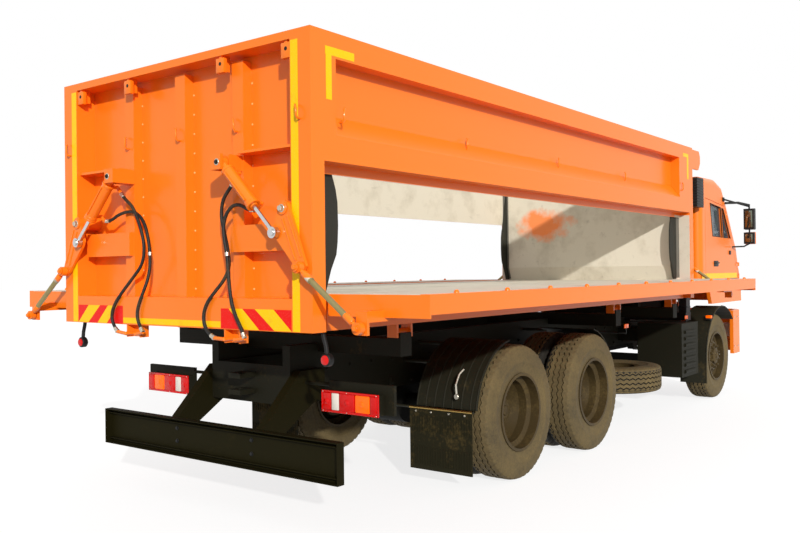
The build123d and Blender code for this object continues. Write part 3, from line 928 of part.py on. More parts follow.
# each route: (depth inside the bed's rear face, distance from the centre plane, height)
HOSE_ROUTES = {
    "right_a": [(22, *port_a), (22, *port_a_next), (25, 468, 2085), (25, 450, 1985), (25, 480, 1880), (25, 513, 1770),
                (22, 530, 1670), (5, 500, 1590), (-15, 435, 1518), (-20, 366, 1452), (-20, 330, 1382),
                (-20, 334, 1314), (-19, 372, 1262)],
    "right_b": [(22, *port_b), (22, *port_b_next), (20, 645, 2040), (14, 578, 2046), (6, 522, 1998), (0, 498, 1920),
                (-4, 512, 1835), (-6, 538, 1745), (-8, 548, 1655), (-10, 558, 1575), (-13, 572, 1500),
                (-17, 594, 1430), (-20, 630, 1362), (-20, 674, 1300)],
    "left_a": [(22, *port_a), (22, *port_a_next), (25, 455, 2095), (25, 400, 2010), (25, 350, 1910), (25, 325, 1800),
               (22, 345, 1695), (8, 425, 1612), (-10, 515, 1522), (-18, 600, 1438), (-20, 644, 1358),
               (-19, 630, 1286)],
    "left_b": [(22, *port_b), (22, *port_b_next), (36, 640, 2043), (49, 560, 2063), (52, 475, 2060), (52, 400, 2022),
               (51, 345, 1950), (48, 312, 1860), (42, 290, 1765), (32, 276, 1670), (10, 274, 1590), (-13, 288, 1515),
               (-20, 325, 1442), (-20, 354, 1372), (-19, 340, 1300)],
}
hoses = []
for name, route in HOSE_ROUTES.items():
    s, elbow_y, elbow_z = HOSE_ELBOWS[name][0], HOSE_ELBOWS[name][2], HOSE_ELBOWS[name][3]
    points = [Vector(BED_REAR + depth, s * y, z) for depth, y, z in route + [(HOSE_ELBOW_DEPTH, elbow_y, elbow_z)]]
    runs = [b - a for a, b in zip(points, points[1:])]
    radii = [0.45 * min(a.length, b.length) / tan(radians(a.get_angle(b)) / 2) for a, b in zip(runs, runs[1:])]
    print(name, "radii", [round(r) for r in radii], "length", round(sum(r.length for r in runs)))
    with BuildPart() as hose:
        with BuildLine() as path:
            FilletPolyline(*points, radius=radii)
        with BuildSketch(Plane(origin=points[0], z_dir=runs[0])):
            Circle(HOSE_RADIUS)
        sweep()
    hoses.append(hose.part)
with BuildPart() as hydraulic_hoses:
    add(hoses)
save(hydraulic_hoses.part, "hydraulic_hoses")

# ---------------------------------------------------------------- cab shell
CAB_REAR = CAB_ORIGIN + 6760.0
CAB_HALF = 1200.0
CAB_WALL = 45.0
CAB_EDGE = 90.0
CAB_FLOOR_TOP = CAB_FLOOR_Z + CAB_WALL
CAB_SKIRT_Z = 1187.0
# side outline, from the rear foot clockwise: (distance from the bed's rear, height)
cab_outline = [(6760.0, CAB_FLOOR_Z), (6760.0, 2665.0), (6900.0, 2738.0), (7380.0, 2742.0), (7630.0, 2672.0),
               (7800.0, 2490.0), (8240.0, 1911.0), (8350.0, 1640.0), (8395.0, CAB_SKIRT_Z), (7150.0, CAB_SKIRT_Z),
               (7080.0, CAB_FLOOR_Z)]
WINDSCREEN_TOP = (7800.0, 2490.0)
WINDSCREEN_BASE = (8240.0, 1911.0)
DOOR_GAP = 6.0
door_outline = [(6940.0, 1490.0), (6940.0, 2475.0), (7714.0, 2410.0), (8021.0, 1911.0), (8275.0, 1498.0), (8275.0, 1490.0)]
door_window = [(7209.0, 2022.0), (7120.0, 2425.0), (7535.0, 2390.0), (7603.0, 2016.0)]
quarter_window = [(7645.0, 2013.0), (7577.0, 2386.0), (7641.0, 2381.0), (7935.0, 2010.0)]
DOOR_AXIS = (8281.0, CAB_HALF)
DOOR_PIN = 7.0
DOOR_KNUCKLE = 11.0
DOOR_KNUCKLES = (1500.0, 1650.0)
KNUCKLE_HEIGHT = 36.0
screen_run = Vector(WINDSCREEN_BASE[0] - WINDSCREEN_TOP[0], WINDSCREEN_BASE[1] - WINDSCREEN_TOP[1])
screen_along = screen_run.normalized()
screen_out = Vector(-screen_along.Y, screen_along.X)
SCREEN_MARGIN = 60.0
SCREEN_HALF = 1010.0
REAR_WINDOW_Y = (330.0, 830.0)
REAR_WINDOW_Z = (2050.0, 2380.0)
GLASS = 6.0


def from_origin(points):
    """Points of a side outline moved to the truck's frame."""
    return [(CAB_ORIGIN + x, z) for x, z in points]


def screen_box(depth_in, depth_out):
    """Corners of a slab over the windscreen's opening, between two depths."""
    top = Vector(*WINDSCREEN_TOP) + screen_along * SCREEN_MARGIN
    base = Vector(*WINDSCREEN_BASE) - screen_along * SCREEN_MARGIN
    corners = [top - screen_out * depth_in, top - screen_out * depth_out, base - screen_out * depth_out,
               base - screen_out * depth_in]
    return from_origin([(c.X, c.Y) for c in corners])


def side_edges(part, half):
    """Edges of the cab's sides above the door sills, for rounding."""
    edges = part.edges().filter_by_position(Axis.Z, 1700, 3000)
    return [e for e in edges if abs(abs(e.center().Y) - half) < 1]


with BuildPart() as cab_inside:
    with BuildSketch(Plane.XZ.offset(-(CAB_HALF - CAB_WALL))):
        Polygon(*from_origin(cab_outline), align=None)
        offset(amount=-CAB_WALL, kind=Kind.INTERSECTION)
    extrude(amount=2 * (CAB_HALF - CAB_WALL))
    block(CAB_ORIGIN + 6700, CAB_ORIGIN + 8500, -CAB_HALF, CAB_HALF, CAB_SKIRT_Z, CAB_FLOOR_TOP, Mode.SUBTRACT)
    fillet(side_edges(cab_inside, CAB_HALF - CAB_WALL), CAB_EDGE - CAB_WALL)

with BuildPart() as cab_shell:
    plate_y(from_origin(cab_outline), -CAB_HALF, CAB_HALF)
    fillet(side_edges(cab_shell, CAB_HALF), CAB_EDGE)
    add(cab_inside.part, mode=Mode.SUBTRACT)
    # open underside of the skirt, with round wheel arches
    block(CAB_ORIGIN + 7060, CAB_ORIGIN + 8350, -CAB_HALF + CAB_WALL, CAB_HALF - CAB_WALL, CAB_SKIRT_Z - 5, CAB_FLOOR_Z, Mode.SUBTRACT)
    plate_y(screen_box(-60, 120), -SCREEN_HALF, SCREEN_HALF, Mode.SUBTRACT)
    for name, s in SIDES:
        side_block(CAB_REAR - 10, CAB_REAR + CAB_WALL + 10, *REAR_WINDOW_Y, s, *REAR_WINDOW_Z, Mode.SUBTRACT)
        with BuildSketch(Plane.XZ.offset(-s * (CAB_HALF + 10) if s > 0 else CAB_HALF - CAB_WALL - 10)) as door_hole:
            Polygon(*from_origin(door_outline), align=None)
            offset(amount=DOOR_GAP, kind=Kind.INTERSECTION)
        extrude(door_hole.sketch, amount=CAB_WALL + 20, mode=Mode.SUBTRACT)
        # hinge: room for the door's knuckles, and the pins they turn on
        axis_x = CAB_ORIGIN + DOOR_AXIS[0]
        y = s * DOOR_AXIS[1]
        low_z = DOOR_KNUCKLES[0] - MOVE_GAP
        high_z = DOOR_KNUCKLES[1] + KNUCKLE_HEIGHT + 30
        reach = DOOR_KNUCKLE + MOVE_GAP
        side_block(axis_x - reach, axis_x + reach, DOOR_AXIS[1] - reach, DOOR_AXIS[1] + 10, s, low_z - 10, high_z,
                   Mode.SUBTRACT)
        for z in DOOR_KNUCKLES:
            above = z + KNUCKLE_HEIGHT + SEAT_GAP
            side_block(axis_x - 145, axis_x, DOOR_AXIS[1] - DOOR_KNUCKLE - MOVE_GAP, DOOR_AXIS[1] + 10, s,
                       z - MOVE_GAP, above + 12, Mode.SUBTRACT)
            rod((axis_x, y, z - 2), (axis_x, y, above + 12), DOOR_PIN)
            side_block(axis_x - 8, axis_x + 30, DOOR_AXIS[1] - 50, DOOR_AXIS[1] + 4, s, above, above + 12)
        # lug and pin of the tilt pivot
        x = CAB_PIVOT_X
        lug_y = CAB_EAR_Y[1] + 1
        side_block(x - 38, x + 38, lug_y, lug_y + 15, s, CAB_PIVOT_Z, CAB_FLOOR_TOP - 10)
        rod((x, s * lug_y, CAB_PIVOT_Z), (x, s * (lug_y + 15), CAB_PIVOT_Z), 38)
        rod((x, s * (CAB_EAR_Y[0] - 4), CAB_PIVOT_Z), (x, s * (lug_y + 5), CAB_PIVOT_Z), CAB_PIN_RADIUS)
save(cab_shell.part, "cab_shell")

with BuildPart() as cab_glass:
    plate_y(screen_box(18, 18 + GLASS), -SCREEN_HALF, SCREEN_HALF)
    for name, s in SIDES:
        side_block(CAB_REAR + 20, CAB_REAR + 20 + GLASS, *REAR_WINDOW_Y, s, *REAR_WINDOW_Z)
save(cab_glass.part, "cab_glass")

# ---------------------------------------------------------------- cab interior
with BuildPart() as cab_interior:
    # bunk, two seats and the dashboard with its steering wheel
    block(CAB_ORIGIN + 6820, CAB_ORIGIN + 7180, -1100, 1100, CAB_FLOOR_TOP, 1640)
    for name, s in SIDES:
        side_block(CAB_ORIGIN + 7330, CAB_ORIGIN + 7830, 300, 840, s, CAB_FLOOR_TOP, 1760)
        plate_y(from_origin([(7330, 1700), (7240, 2380), (7350, 2400), (7470, 1760)]), *sorted((s * 320, s * 820)))
    plate_y(from_origin([(8090, CAB_FLOOR_TOP), (8020, 1700), (8030, 1850), (8150, 1860), (8240, 1640), (8270, CAB_FLOOR_TOP)]),
            -1090, 1090)
    rod((CAB_ORIGIN + 8060, 570, 1720), (CAB_ORIGIN + 7870, 570, 1930), 28)
    with Locations(Plane(origin=(CAB_ORIGIN + 7870, 570, 1930), z_dir=(-130, 0, 240))):
        Torus(200, 14)
        Cylinder(190, 10)
save(cab_interior.part, "cab_interior")

# ---------------------------------------------------------------- doors and their glass
for name, s in SIDES:
    skin_start = -max(s * CAB_HALF, s * (CAB_HALF - CAB_WALL))
    with BuildPart() as door:
        with BuildSketch(Plane.XZ.offset(skin_start)):
            Polygon(*from_origin(door_outline), align=None)
            Polygon(*from_origin(door_window), align=None, mode=Mode.SUBTRACT)
            Polygon(*from_origin(quarter_window), align=None, mode=Mode.SUBTRACT)
        extrude(amount=CAB_WALL)
        axis_x = CAB_ORIGIN + DOOR_AXIS[0]
        y = s * DOOR_AXIS[1]
        for z, edge_x in zip(DOOR_KNUCKLES, (8230.0, 8140.0)):
            side_block(CAB_ORIGIN + edge_x, axis_x, DOOR_AXIS[1] - DOOR_KNUCKLE, DOOR_AXIS[1] + 4, s, z, z + KNUCKLE_HEIGHT)
            rod((axis_x, y, z), (axis_x, y, z + KNUCKLE_HEIGHT), DOOR_KNUCKLE)
            rod((axis_x, y, z - 5), (axis_x, y, z + KNUCKLE_HEIGHT + 1), DOOR_PIN + RUN_GAP, Mode.SUBTRACT)
    save(door.part, f"door_{name}")
    with BuildPart() as door_glass:
        with BuildSketch(Plane.XZ.offset(skin_start + 20)):
            Polygon(*from_origin(door_window), align=None)
            Polygon(*from_origin(quarter_window), align=None)
        extrude(amount=GLASS)
    save(door_glass.part, f"door_glass_{name}")

# ---------------------------------------------------------------- mirrors on their arms
MIRROR_FOOT_X = CAB_ORIGIN + 7640.0
with BuildPart() as mirrors:
    for name, s in SIDES:
        # (rear, front, inner, outer, low, high) of the large and the small mirror
        for z0, z1 in ((2130.0, 2400.0), (1940.0, 2090.0)):
            side_block(CAB_ORIGIN + 8170, CAB_ORIGIN + 8230, 1305, 1435, s, z0, z1)
        rod((CAB_ORIGIN + 8200, s * 1370, 2085), (CAB_ORIGIN + 8200, s * 1370, 2135), 10)
        side_block(MIRROR_FOOT_X - 25, MIRROR_FOOT_X + 25, CAB_HALF, CAB_HALF + 15, s, 2475, 2525)
        rod((MIRROR_FOOT_X, s * (CAB_HALF + 12), 2500), (CAB_ORIGIN + 8200, s * 1370, 2430), 11)
        rod((CAB_ORIGIN + 8200, s * 1370, 2395), (CAB_ORIGIN + 8200, s * 1370, 2435), 11)
save(mirrors.part, "mirrors")

# ---------------------------------------------------------------- raised air intake behind the cab
INTAKE_X = (BED_FRONT + LINKAGE_DEPTH + 25.0, CAB_REAR - 30.0)
INTAKE_Y = (970.0, 1250.0)
INTAKE_Z = (2345.0, 2690.0)
with BuildPart() as air_intake:
    side_block(*INTAKE_X, *INTAKE_Y, -1, *INTAKE_Z)
    side_block(INTAKE_X[0] + 50, INTAKE_X[1] - 50, 1000, 1090, -1, RAIL_TOP_Z + 20, INTAKE_Z[0])
    side_block(INTAKE_X[0] + 30, INTAKE_X[1] - 30, RAIL_OUTER_Y - RAIL_FLANGE, 1090, -1, RAIL_TOP_Z + 20, RAIL_TOP_Z + 110)
    side_block(INTAKE_X[0] + 30, INTAKE_X[1] - 30, RAIL_OUTER_Y - RAIL_FLANGE, RAIL_OUTER_Y, -1, RAIL_TOP_Z, RAIL_TOP_Z + 20)
save(air_intake.part, "air_intake")
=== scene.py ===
"""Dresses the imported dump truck: paint, dust, tyres, tape, hoses, lamps, cab trim and a plain studio."""

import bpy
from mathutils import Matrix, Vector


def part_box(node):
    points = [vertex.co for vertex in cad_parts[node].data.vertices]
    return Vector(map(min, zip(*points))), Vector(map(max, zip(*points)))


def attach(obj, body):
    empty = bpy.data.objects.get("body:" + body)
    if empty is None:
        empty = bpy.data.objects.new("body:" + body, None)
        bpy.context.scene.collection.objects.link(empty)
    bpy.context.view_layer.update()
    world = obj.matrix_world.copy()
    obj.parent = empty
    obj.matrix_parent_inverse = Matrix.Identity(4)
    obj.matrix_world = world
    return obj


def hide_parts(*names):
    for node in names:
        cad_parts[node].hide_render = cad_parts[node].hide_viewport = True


bl_info = {
    "name": "Dump Truck Dressing",
    "version": (1, 0, 0),
    "blender": (4, 5, 0),
    "location": "View3D > Sidebar > Dump Truck",
    "description": "Materials and detail pieces for a side-tipping dump truck, over its packed model",
    "category": "Object",
}

from math import cos, pi, radians, sin

import bmesh
import bpy
from bpy.props import FloatProperty, FloatVectorProperty, IntProperty, PointerProperty
from mathutils import Matrix, Vector

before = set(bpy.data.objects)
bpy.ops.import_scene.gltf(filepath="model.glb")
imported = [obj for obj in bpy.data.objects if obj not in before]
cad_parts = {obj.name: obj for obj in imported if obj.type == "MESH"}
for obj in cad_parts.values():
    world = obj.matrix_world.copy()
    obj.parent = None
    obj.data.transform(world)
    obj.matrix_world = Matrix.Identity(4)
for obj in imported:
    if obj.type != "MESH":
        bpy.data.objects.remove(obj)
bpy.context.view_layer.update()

SIDES = {"left": 1, "right": -1}
BED_REAR = -4.26                    # face of the bed's rear posts
BED_LENGTH = 6.375
BED_FRONT = BED_REAR + BED_LENGTH
HALF_WIDTH = 1.24
AXLE_FRONT = 3.166
AXLE_MID = -0.585
AXLE_REAR = -1.909
WHEEL_RADIUS = 0.525
TAPE_THICK = 0.0012
DOOR_FACE = 1.1995                  # distance of the doors' outer skin from the centre plane
SHARP = radians(30)                 # edges turned further than this are rounded
SMOOTH_BELOW = radians(33)          # edges turned less than this are shaded smooth
WELD_DISTANCE = 5e-5
NO_RADIUS = 1e-5


# ------------------------------------------------------------------ shader building
class Varying:
    """A number that varies over a surface. Arithmetic on it adds Math nodes."""

    def __init__(self, tree, socket):
        self.tree = tree
        self.socket = socket

    def maths(self, operation, *values):
        node = self.tree.nodes.new("ShaderNodeMath")
        node.operation = operation
        for socket, value in zip(node.inputs, values):
            plug(self.tree, socket, value)
        return Varying(self.tree, node.outputs[0])

    def __add__(self, other):
        return self.maths("ADD", self, other)

    __radd__ = __add__

    def __sub__(self, other):
        return self.maths("SUBTRACT", self, other)

    def __rsub__(self, other):
        return self.maths("SUBTRACT", other, self)

    def __mul__(self, other):
        return self.maths("MULTIPLY", self, other)

    __rmul__ = __mul__

    def __gt__(self, other):
        return self.maths("GREATER_THAN", self, other)

    def __lt__(self, other):
        return self.maths("LESS_THAN", self, other)

    def __abs__(self):
        return self.maths("ABSOLUTE", self)

    def clamped(self):
        return self.maths("MINIMUM", self.maths("MAXIMUM", self, 0.0), 1.0)

    def sine(self):
        return self.maths("SINE", self)

    def root(self):
        return self.maths("SQRT", self)


def plug(tree, socket, value):
    """Links or sets one input socket."""
    if isinstance(value, Varying):
        tree.links.new(value.socket, socket)
    elif isinstance(value, bpy.types.NodeSocket):
        tree.links.new(value, socket)
    else:
        socket.default_value = value


class Finish:
    """A procedural material being put together."""

    def __init__(self, name, **constants):
        self.material = bpy.data.materials.new(name)
        self.material.use_nodes = True
        self.tree = self.material.node_tree
        self.shader = self.tree.nodes["Principled BSDF"]
        for socket, value in constants.items():
            self.shader.inputs[socket.replace("_", " ")].default_value = value

    def node(self, kind, settings=None, **sockets):
        node = self.tree.nodes.new(kind)
        for name, value in (settings or {}).items():
            setattr(node, name, value)
        for name, value in sockets.items():
            plug(self.tree, node.inputs[name.replace("_", " ")], value)
        return node

    def set(self, **sockets):
        for name, value in sockets.items():
            plug(self.tree, self.shader.inputs[name.replace("_", " ")], value)

    def place(self):
        """The point's x, y and z in its piece's own frame."""
        point = self.node("ShaderNodeTexCoord").outputs["Object"]
        parts = self.node("ShaderNodeSeparateXYZ", Vector=point)
        return [Varying(self.tree, output) for output in parts.outputs]

    def noise(self, scale, detail=3.0, roughness=0.5, stretch=(1, 1, 1)):
        point = self.node("ShaderNodeTexCoord").outputs["Object"]
        if stretch != (1, 1, 1):
            point = self.node("ShaderNodeMapping", Vector=point, Scale=stretch).outputs[0]
        node = self.node("ShaderNodeTexNoise", Vector=point, Scale=scale, Detail=detail, Roughness=roughness)
        return Varying(self.tree, node.outputs[0])

    def cells(self, scale):
        point = self.node("ShaderNodeTexCoord").outputs["Object"]
        node = self.node("ShaderNodeTexVoronoi", Vector=point, Scale=scale)
        return Varying(self.tree, node.outputs["Distance"])

    def mix(self, factor, first, second):
        node = self.tree.nodes.new("ShaderNodeMix")
        node.data_type = "RGBA"
        plug(self.tree, node.inputs[0], factor)
        plug(self.tree, node.inputs[6], first)
        plug(self.tree, node.inputs[7], second)
        return node.outputs[2]

    def bump(self, height, distance=0.001, strength=0.5):
        node = self.node("ShaderNodeBump", Height=height, Distance=distance, Strength=strength)
        self.set(Normal=node.outputs[0])


def rgb(red, green, blue):
    """A colour written as 0 to 255, as linear light."""
    parts = []
    for value in (red, green, blue):
        share = value / 255
        parts.append(share / 12.92 if share <= 0.04045 else ((share + 0.055) / 1.055) ** 2.4)
    return (*parts, 1.0)


def within(value, low, high):
    """1 where a varying number lies between two limits, else 0."""
    return (value > low) * (value < high)


DUST = rgb(150, 126, 74)


def orange_paint(colour, lining):
    """Gloss orange outside, worn pale lining inside the bed, and painted shade in dark grey on the liner's
    bulge at the rear and in the gaps beside the front wall's liner.
    """
    f = Finish("orange_paint", Specular_IOR_Level=0.28)
    x, y, z = f.place()
    wide = f.noise(0.7, 3)
    patch = f.noise(5, 5, 0.6)
    fine = f.noise(60, 4, 0.6)
    paint = f.mix(((wide - 0.4) * 1.6).clamped() * 0.3, colour, rgb(255, 134, 34))
    dirt = ((patch * 0.7 + fine * 0.3 - 0.56) * 4).clamped() * ((1.75 - z) * 0.7).clamped()
    paint = f.mix(dirt * 0.4, paint, rgb(186, 110, 60))
    inner = (abs(y) < 1.112) * within(z, 1.497, 2.995) * within(x, BED_REAR + 0.17, BED_FRONT - 0.17)
    post = (abs(y) < 1.236) * within(z, 1.5, 2.235) * within(x, BED_FRONT - 0.3, BED_FRONT - 0.02)
    shaded_bulge = inner * (x < BED_REAR + 0.26)
    shaded_gap = within(abs(y), 1.057, 1.113) * within(z, 1.52, 2.98) * within(x, BED_FRONT - 0.3, BED_FRONT - 0.1)
    board = within(z, 1.5045, 1.6) * within(abs(y), 1.249, 1.90) * within(x, -4.47, 2.33)
    inside = (inner + post + board).clamped()
    stain = ((f.noise(2.4, 6, 0.65) - 0.5) * 4).clamped()
    scrape = ((f.noise(9, 5, 0.7, (0.25, 1, 1)) - 0.6) * 7).clamped()
    pale = f.mix(stain * 0.55, lining, rgb(156, 144, 120))
    pale = f.mix(scrape * 0.35, pale, rgb(120, 108, 92))
    # painted shade: the liner's bulge at the rear and the gaps beside the front wall's liner are coloured
    # dark grey, as if shaded
    pale = f.mix((shaded_bulge + shaded_gap * 0.85).clamped(), pale, rgb(62, 62, 58))
    reach = ((y - 0.55) * (y - 0.55) + (z - 2.2) * (z - 2.2) * 4).root()
    spray = ((0.42 - reach) * 5 + (patch - 0.5) * 3).clamped() * (x > BED_FRONT - 0.4)
    pale = f.mix(spray * 0.85, pale, colour)
    f.set(Base_Color=f.mix(inside, paint, pale), Roughness=0.3 + dirt * 0.3 + inside * 0.3,
          Coat_Weight=(1 - inside) * 0.12)
    f.shader.inputs["Coat Roughness"].default_value = 0.12
    f.bump(f.noise(240, 2) * 0.4 + wide * 6 + inside * patch * 3, 0.0006, 0.35)
    return f.material


def dusty(name, colour, dust, roughness=0.6, metallic=0.0, spread=0.5, grain=40.0, gloss=0.3):
    """A paint, plastic, rubber or metal with dust that gathers in patches."""
    f = Finish(name, Metallic=metallic, Specular_IOR_Level=gloss)
    patch = f.noise(3.5, 6, 0.65)
    fine = f.noise(grain, 4, 0.6)
    amount = ((patch * 0.6 + fine * 0.4 - 1 + spread) * 3).clamped()
    shade = f.mix(((fine - 0.35) * 1.5).clamped() * 0.5, colour, [c * 0.55 for c in colour[:3]] + [1.0])
    f.set(Base_Color=f.mix(amount * dust, shade, DUST),
          Roughness=roughness + amount * ((0.9 - roughness) * 0.7))
    f.bump(fine + patch * 0.5, 0.0008, 0.35)
    return f.material


def tyre_rubber():
    """Dusty tread and walls, with the grooves painted near black as shade."""
    f = Finish("tyre_rubber")
    x, y, z = f.place()
    radius = (x * x + z * z).root()
    patch = f.noise(4, 5, 0.65)
    fine = f.noise(70, 4, 0.65)
    groove = ((0.5200 - radius) * 300).clamped() * ((0.104 - abs(y)) * 300).clamped()
    wall = ((abs(y) - 0.118) * 60).clamped()
    amount = (0.42 + (patch - 0.5) * 1.5 + (fine - 0.5) * 0.9).clamped()
    shade = f.mix(amount, rgb(66, 56, 34), rgb(124, 106, 66))
    # painted shade: the grooves are coloured near black
    shade = f.mix(groove * 0.95, shade, rgb(12, 11, 7))
    shade = f.mix(wall * ((f.noise(8, 5, 0.7) - 0.5) * 5).clamped() * 0.55, shade, rgb(48, 40, 26))
    f.set(Base_Color=shade, Roughness=0.78 + amount * 0.15)
    rings = (radius * 700).sine()
    f.bump(fine * 0.8 + rings * wall * 0.25, 0.0012, 0.45)
    return f.material


def tape(name, colour):
    """Reflective tape with its small honeycomb."""
    f = Finish(name, Roughness=0.4, Specular_IOR_Level=0.15)
    cells = f.cells(90)
    dirt = ((f.noise(7, 5, 0.7) - 0.58) * 6).clamped()
    line = ((0.35 - cells) * 4).clamped()
    shade = f.mix(line * 0.05, colour, rgb(255, 255, 255))
    f.set(Base_Color=f.mix(dirt * 0.35, shade, rgb(150, 110, 50)), Coat_Weight=(1 - dirt) * 0.1)
    f.bump(cells, 0.0005, 0.25)
    return f.material


def lamp_lens(name, colour, glow=0.0, coat=0.15):
    """Ribbed coloured lens."""
    f = Finish(name, Roughness=0.22, Coat_Weight=coat, Specular_IOR_Level=0.25)
    _, y, z = f.place()
    ribs = (z * 900).sine() * 0.5 + (y * 700).sine() * 0.5
    shade = f.mix(((f.noise(9, 4) - 0.5) * 2).clamped() * 0.3, colour, [c * 0.5 for c in colour[:3]] + [1.0])
    f.set(Base_Color=shade)
    f.bump(ribs, 0.0012, 0.5)
    if glow:
        f.shader.inputs["Emission Color"].default_value = colour
        f.shader.inputs["Emission Strength"].default_value = glow
    return f.material


def clear_glass(name, tint):
    f = Finish(name, Roughness=0.04, IOR=1.45)
    dirt = ((f.noise(3, 6, 0.7) - 0.5) * 3).clamped()
    f.set(Base_Color=f.mix(dirt * 0.4, tint, rgb(120, 112, 92)), Alpha=0.5 + dirt * 0.16)
    return f.material


def bright_metal(name, colour, roughness):
    f = Finish(name, Metallic=1.0)
    streak = f.noise(30, 4, 0.6, (1, 8, 1))
    stain = ((f.noise(8, 5, 0.7) - 0.55) * 4).clamped()
    f.set(Base_Color=f.mix(stain * 0.35, colour, rgb(120, 105, 80)),
          Roughness=roughness + streak * 0.12 + stain * 0.2)
    f.bump(streak, 0.0003, 0.2)
    return f.material


def cloth(name, colour):
    """Woven seat cover."""
    f = Finish(name, Roughness=0.9)
    x, y, z = f.place()
    weave = (x * 2400).sine() * (y * 2400).sine() + (z * 2400).sine() * 0.5
    worn = ((f.noise(6, 5, 0.6) - 0.45) * 3).clamped()
    f.set(Base_Color=f.mix(worn * 0.4, colour, [min(1.0, c * 2.2) for c in colour[:3]] + [1.0]))
    f.bump(weave, 0.0006, 0.4)
    return f.material


FINISHES = {}


def finish(name):
    """The shared material of that name."""
    return FINISHES[name]


def mix_finishes(look):
    """Makes every material once."""
    FINISHES.update({
        "orange": orange_paint((*look.paint, 1.0), (*look.lining, 1.0)),
        # frame: dark olive paint, made darker still as painted shade for the shaded underside of the bed
        "frame": dusty("frame_paint_and_shade", rgb(25, 24, 13), 0.26, 0.66, spread=0.42, gloss=0.16),
        "frame_dark": dusty("frame_shade", rgb(11, 10, 6), 0.12, 0.75, spread=0.4, gloss=0.12),
        "bar": dusty("bar_paint", rgb(25, 22, 4), 0.1, 0.7, spread=0.42, gloss=0.08),
        "tyre": tyre_rubber(),
        "rim": dusty("rim_paint", rgb(66, 54, 31), 0.42, 0.55, spread=0.52, grain=60, gloss=0.2),
        "black": dusty("black_plastic", rgb(22, 22, 21), 0.28, 0.5, spread=0.42),
        "guard": dusty("guard_plastic", rgb(32, 31, 20), 0.36, 0.62, spread=0.46, gloss=0.2),
        "flap": dusty("flap_rubber", rgb(34, 32, 18), 0.42, 0.78, spread=0.5, gloss=0.12),
        "rubber": dusty("hose_rubber", rgb(26, 24, 22), 0.45, 0.55, spread=0.5, grain=120),
        "trim": dusty("trim_rubber", rgb(14, 14, 14), 0.2, 0.6, spread=0.4),
        "yellow": tape("yellow_tape", rgb(255, 200, 0)),
        "red": tape("red_tape", rgb(232, 16, 4)),
        "red_lens": lamp_lens("red_lens", rgb(196, 6, 2), 0.22),
        "amber_lens": lamp_lens("amber_lens", rgb(255, 100, 0), 0.4),
        "white_lens": lamp_lens("white_lens", rgb(236, 232, 220), coat=0.5),
        "glass": clear_glass("cab_glazing", rgb(74, 90, 98)),
        "lamp_glass": clear_glass("lamp_glazing", rgb(215, 222, 224)),
        "mirror": bright_metal("mirror_glass", rgb(120, 126, 112), 0.04),
        "steel": bright_metal("zinc_steel", rgb(196, 190, 176), 0.3),
        "tube": dusty("link_tube", rgb(150, 140, 96), 0.4, 0.4, 0.6, 0.5),
        # weld dots: pale, painted glints
        "weld_glint": dusty("weld_glint_bead", rgb(255, 190, 120), 0.1, 0.5),
        "chrome": bright_metal("chrome_rod", rgb(204, 204, 204), 0.16),
        "brass": bright_metal("passivated_rod", rgb(170, 140, 80), 0.34),
        "tank": bright_metal("tank_alloy", rgb(150, 148, 142), 0.42),
        # liner edges: dark grey, painted shade for the shaded sides of the liner's bulges
        "liner_shade": dusty("liner_edge_shade", rgb(46, 46, 40), 0.25, 0.6, spread=0.45, gloss=0.2),
        "iron": dusty("engine_iron", rgb(58, 58, 54), 0.4, 0.6, spread=0.5),
        "cloth": cloth("seat_cloth", rgb(52, 52, 56)),
        "lining": dusty("cab_lining", rgb(92, 90, 84), 0.2, 0.8, spread=0.4),
    })


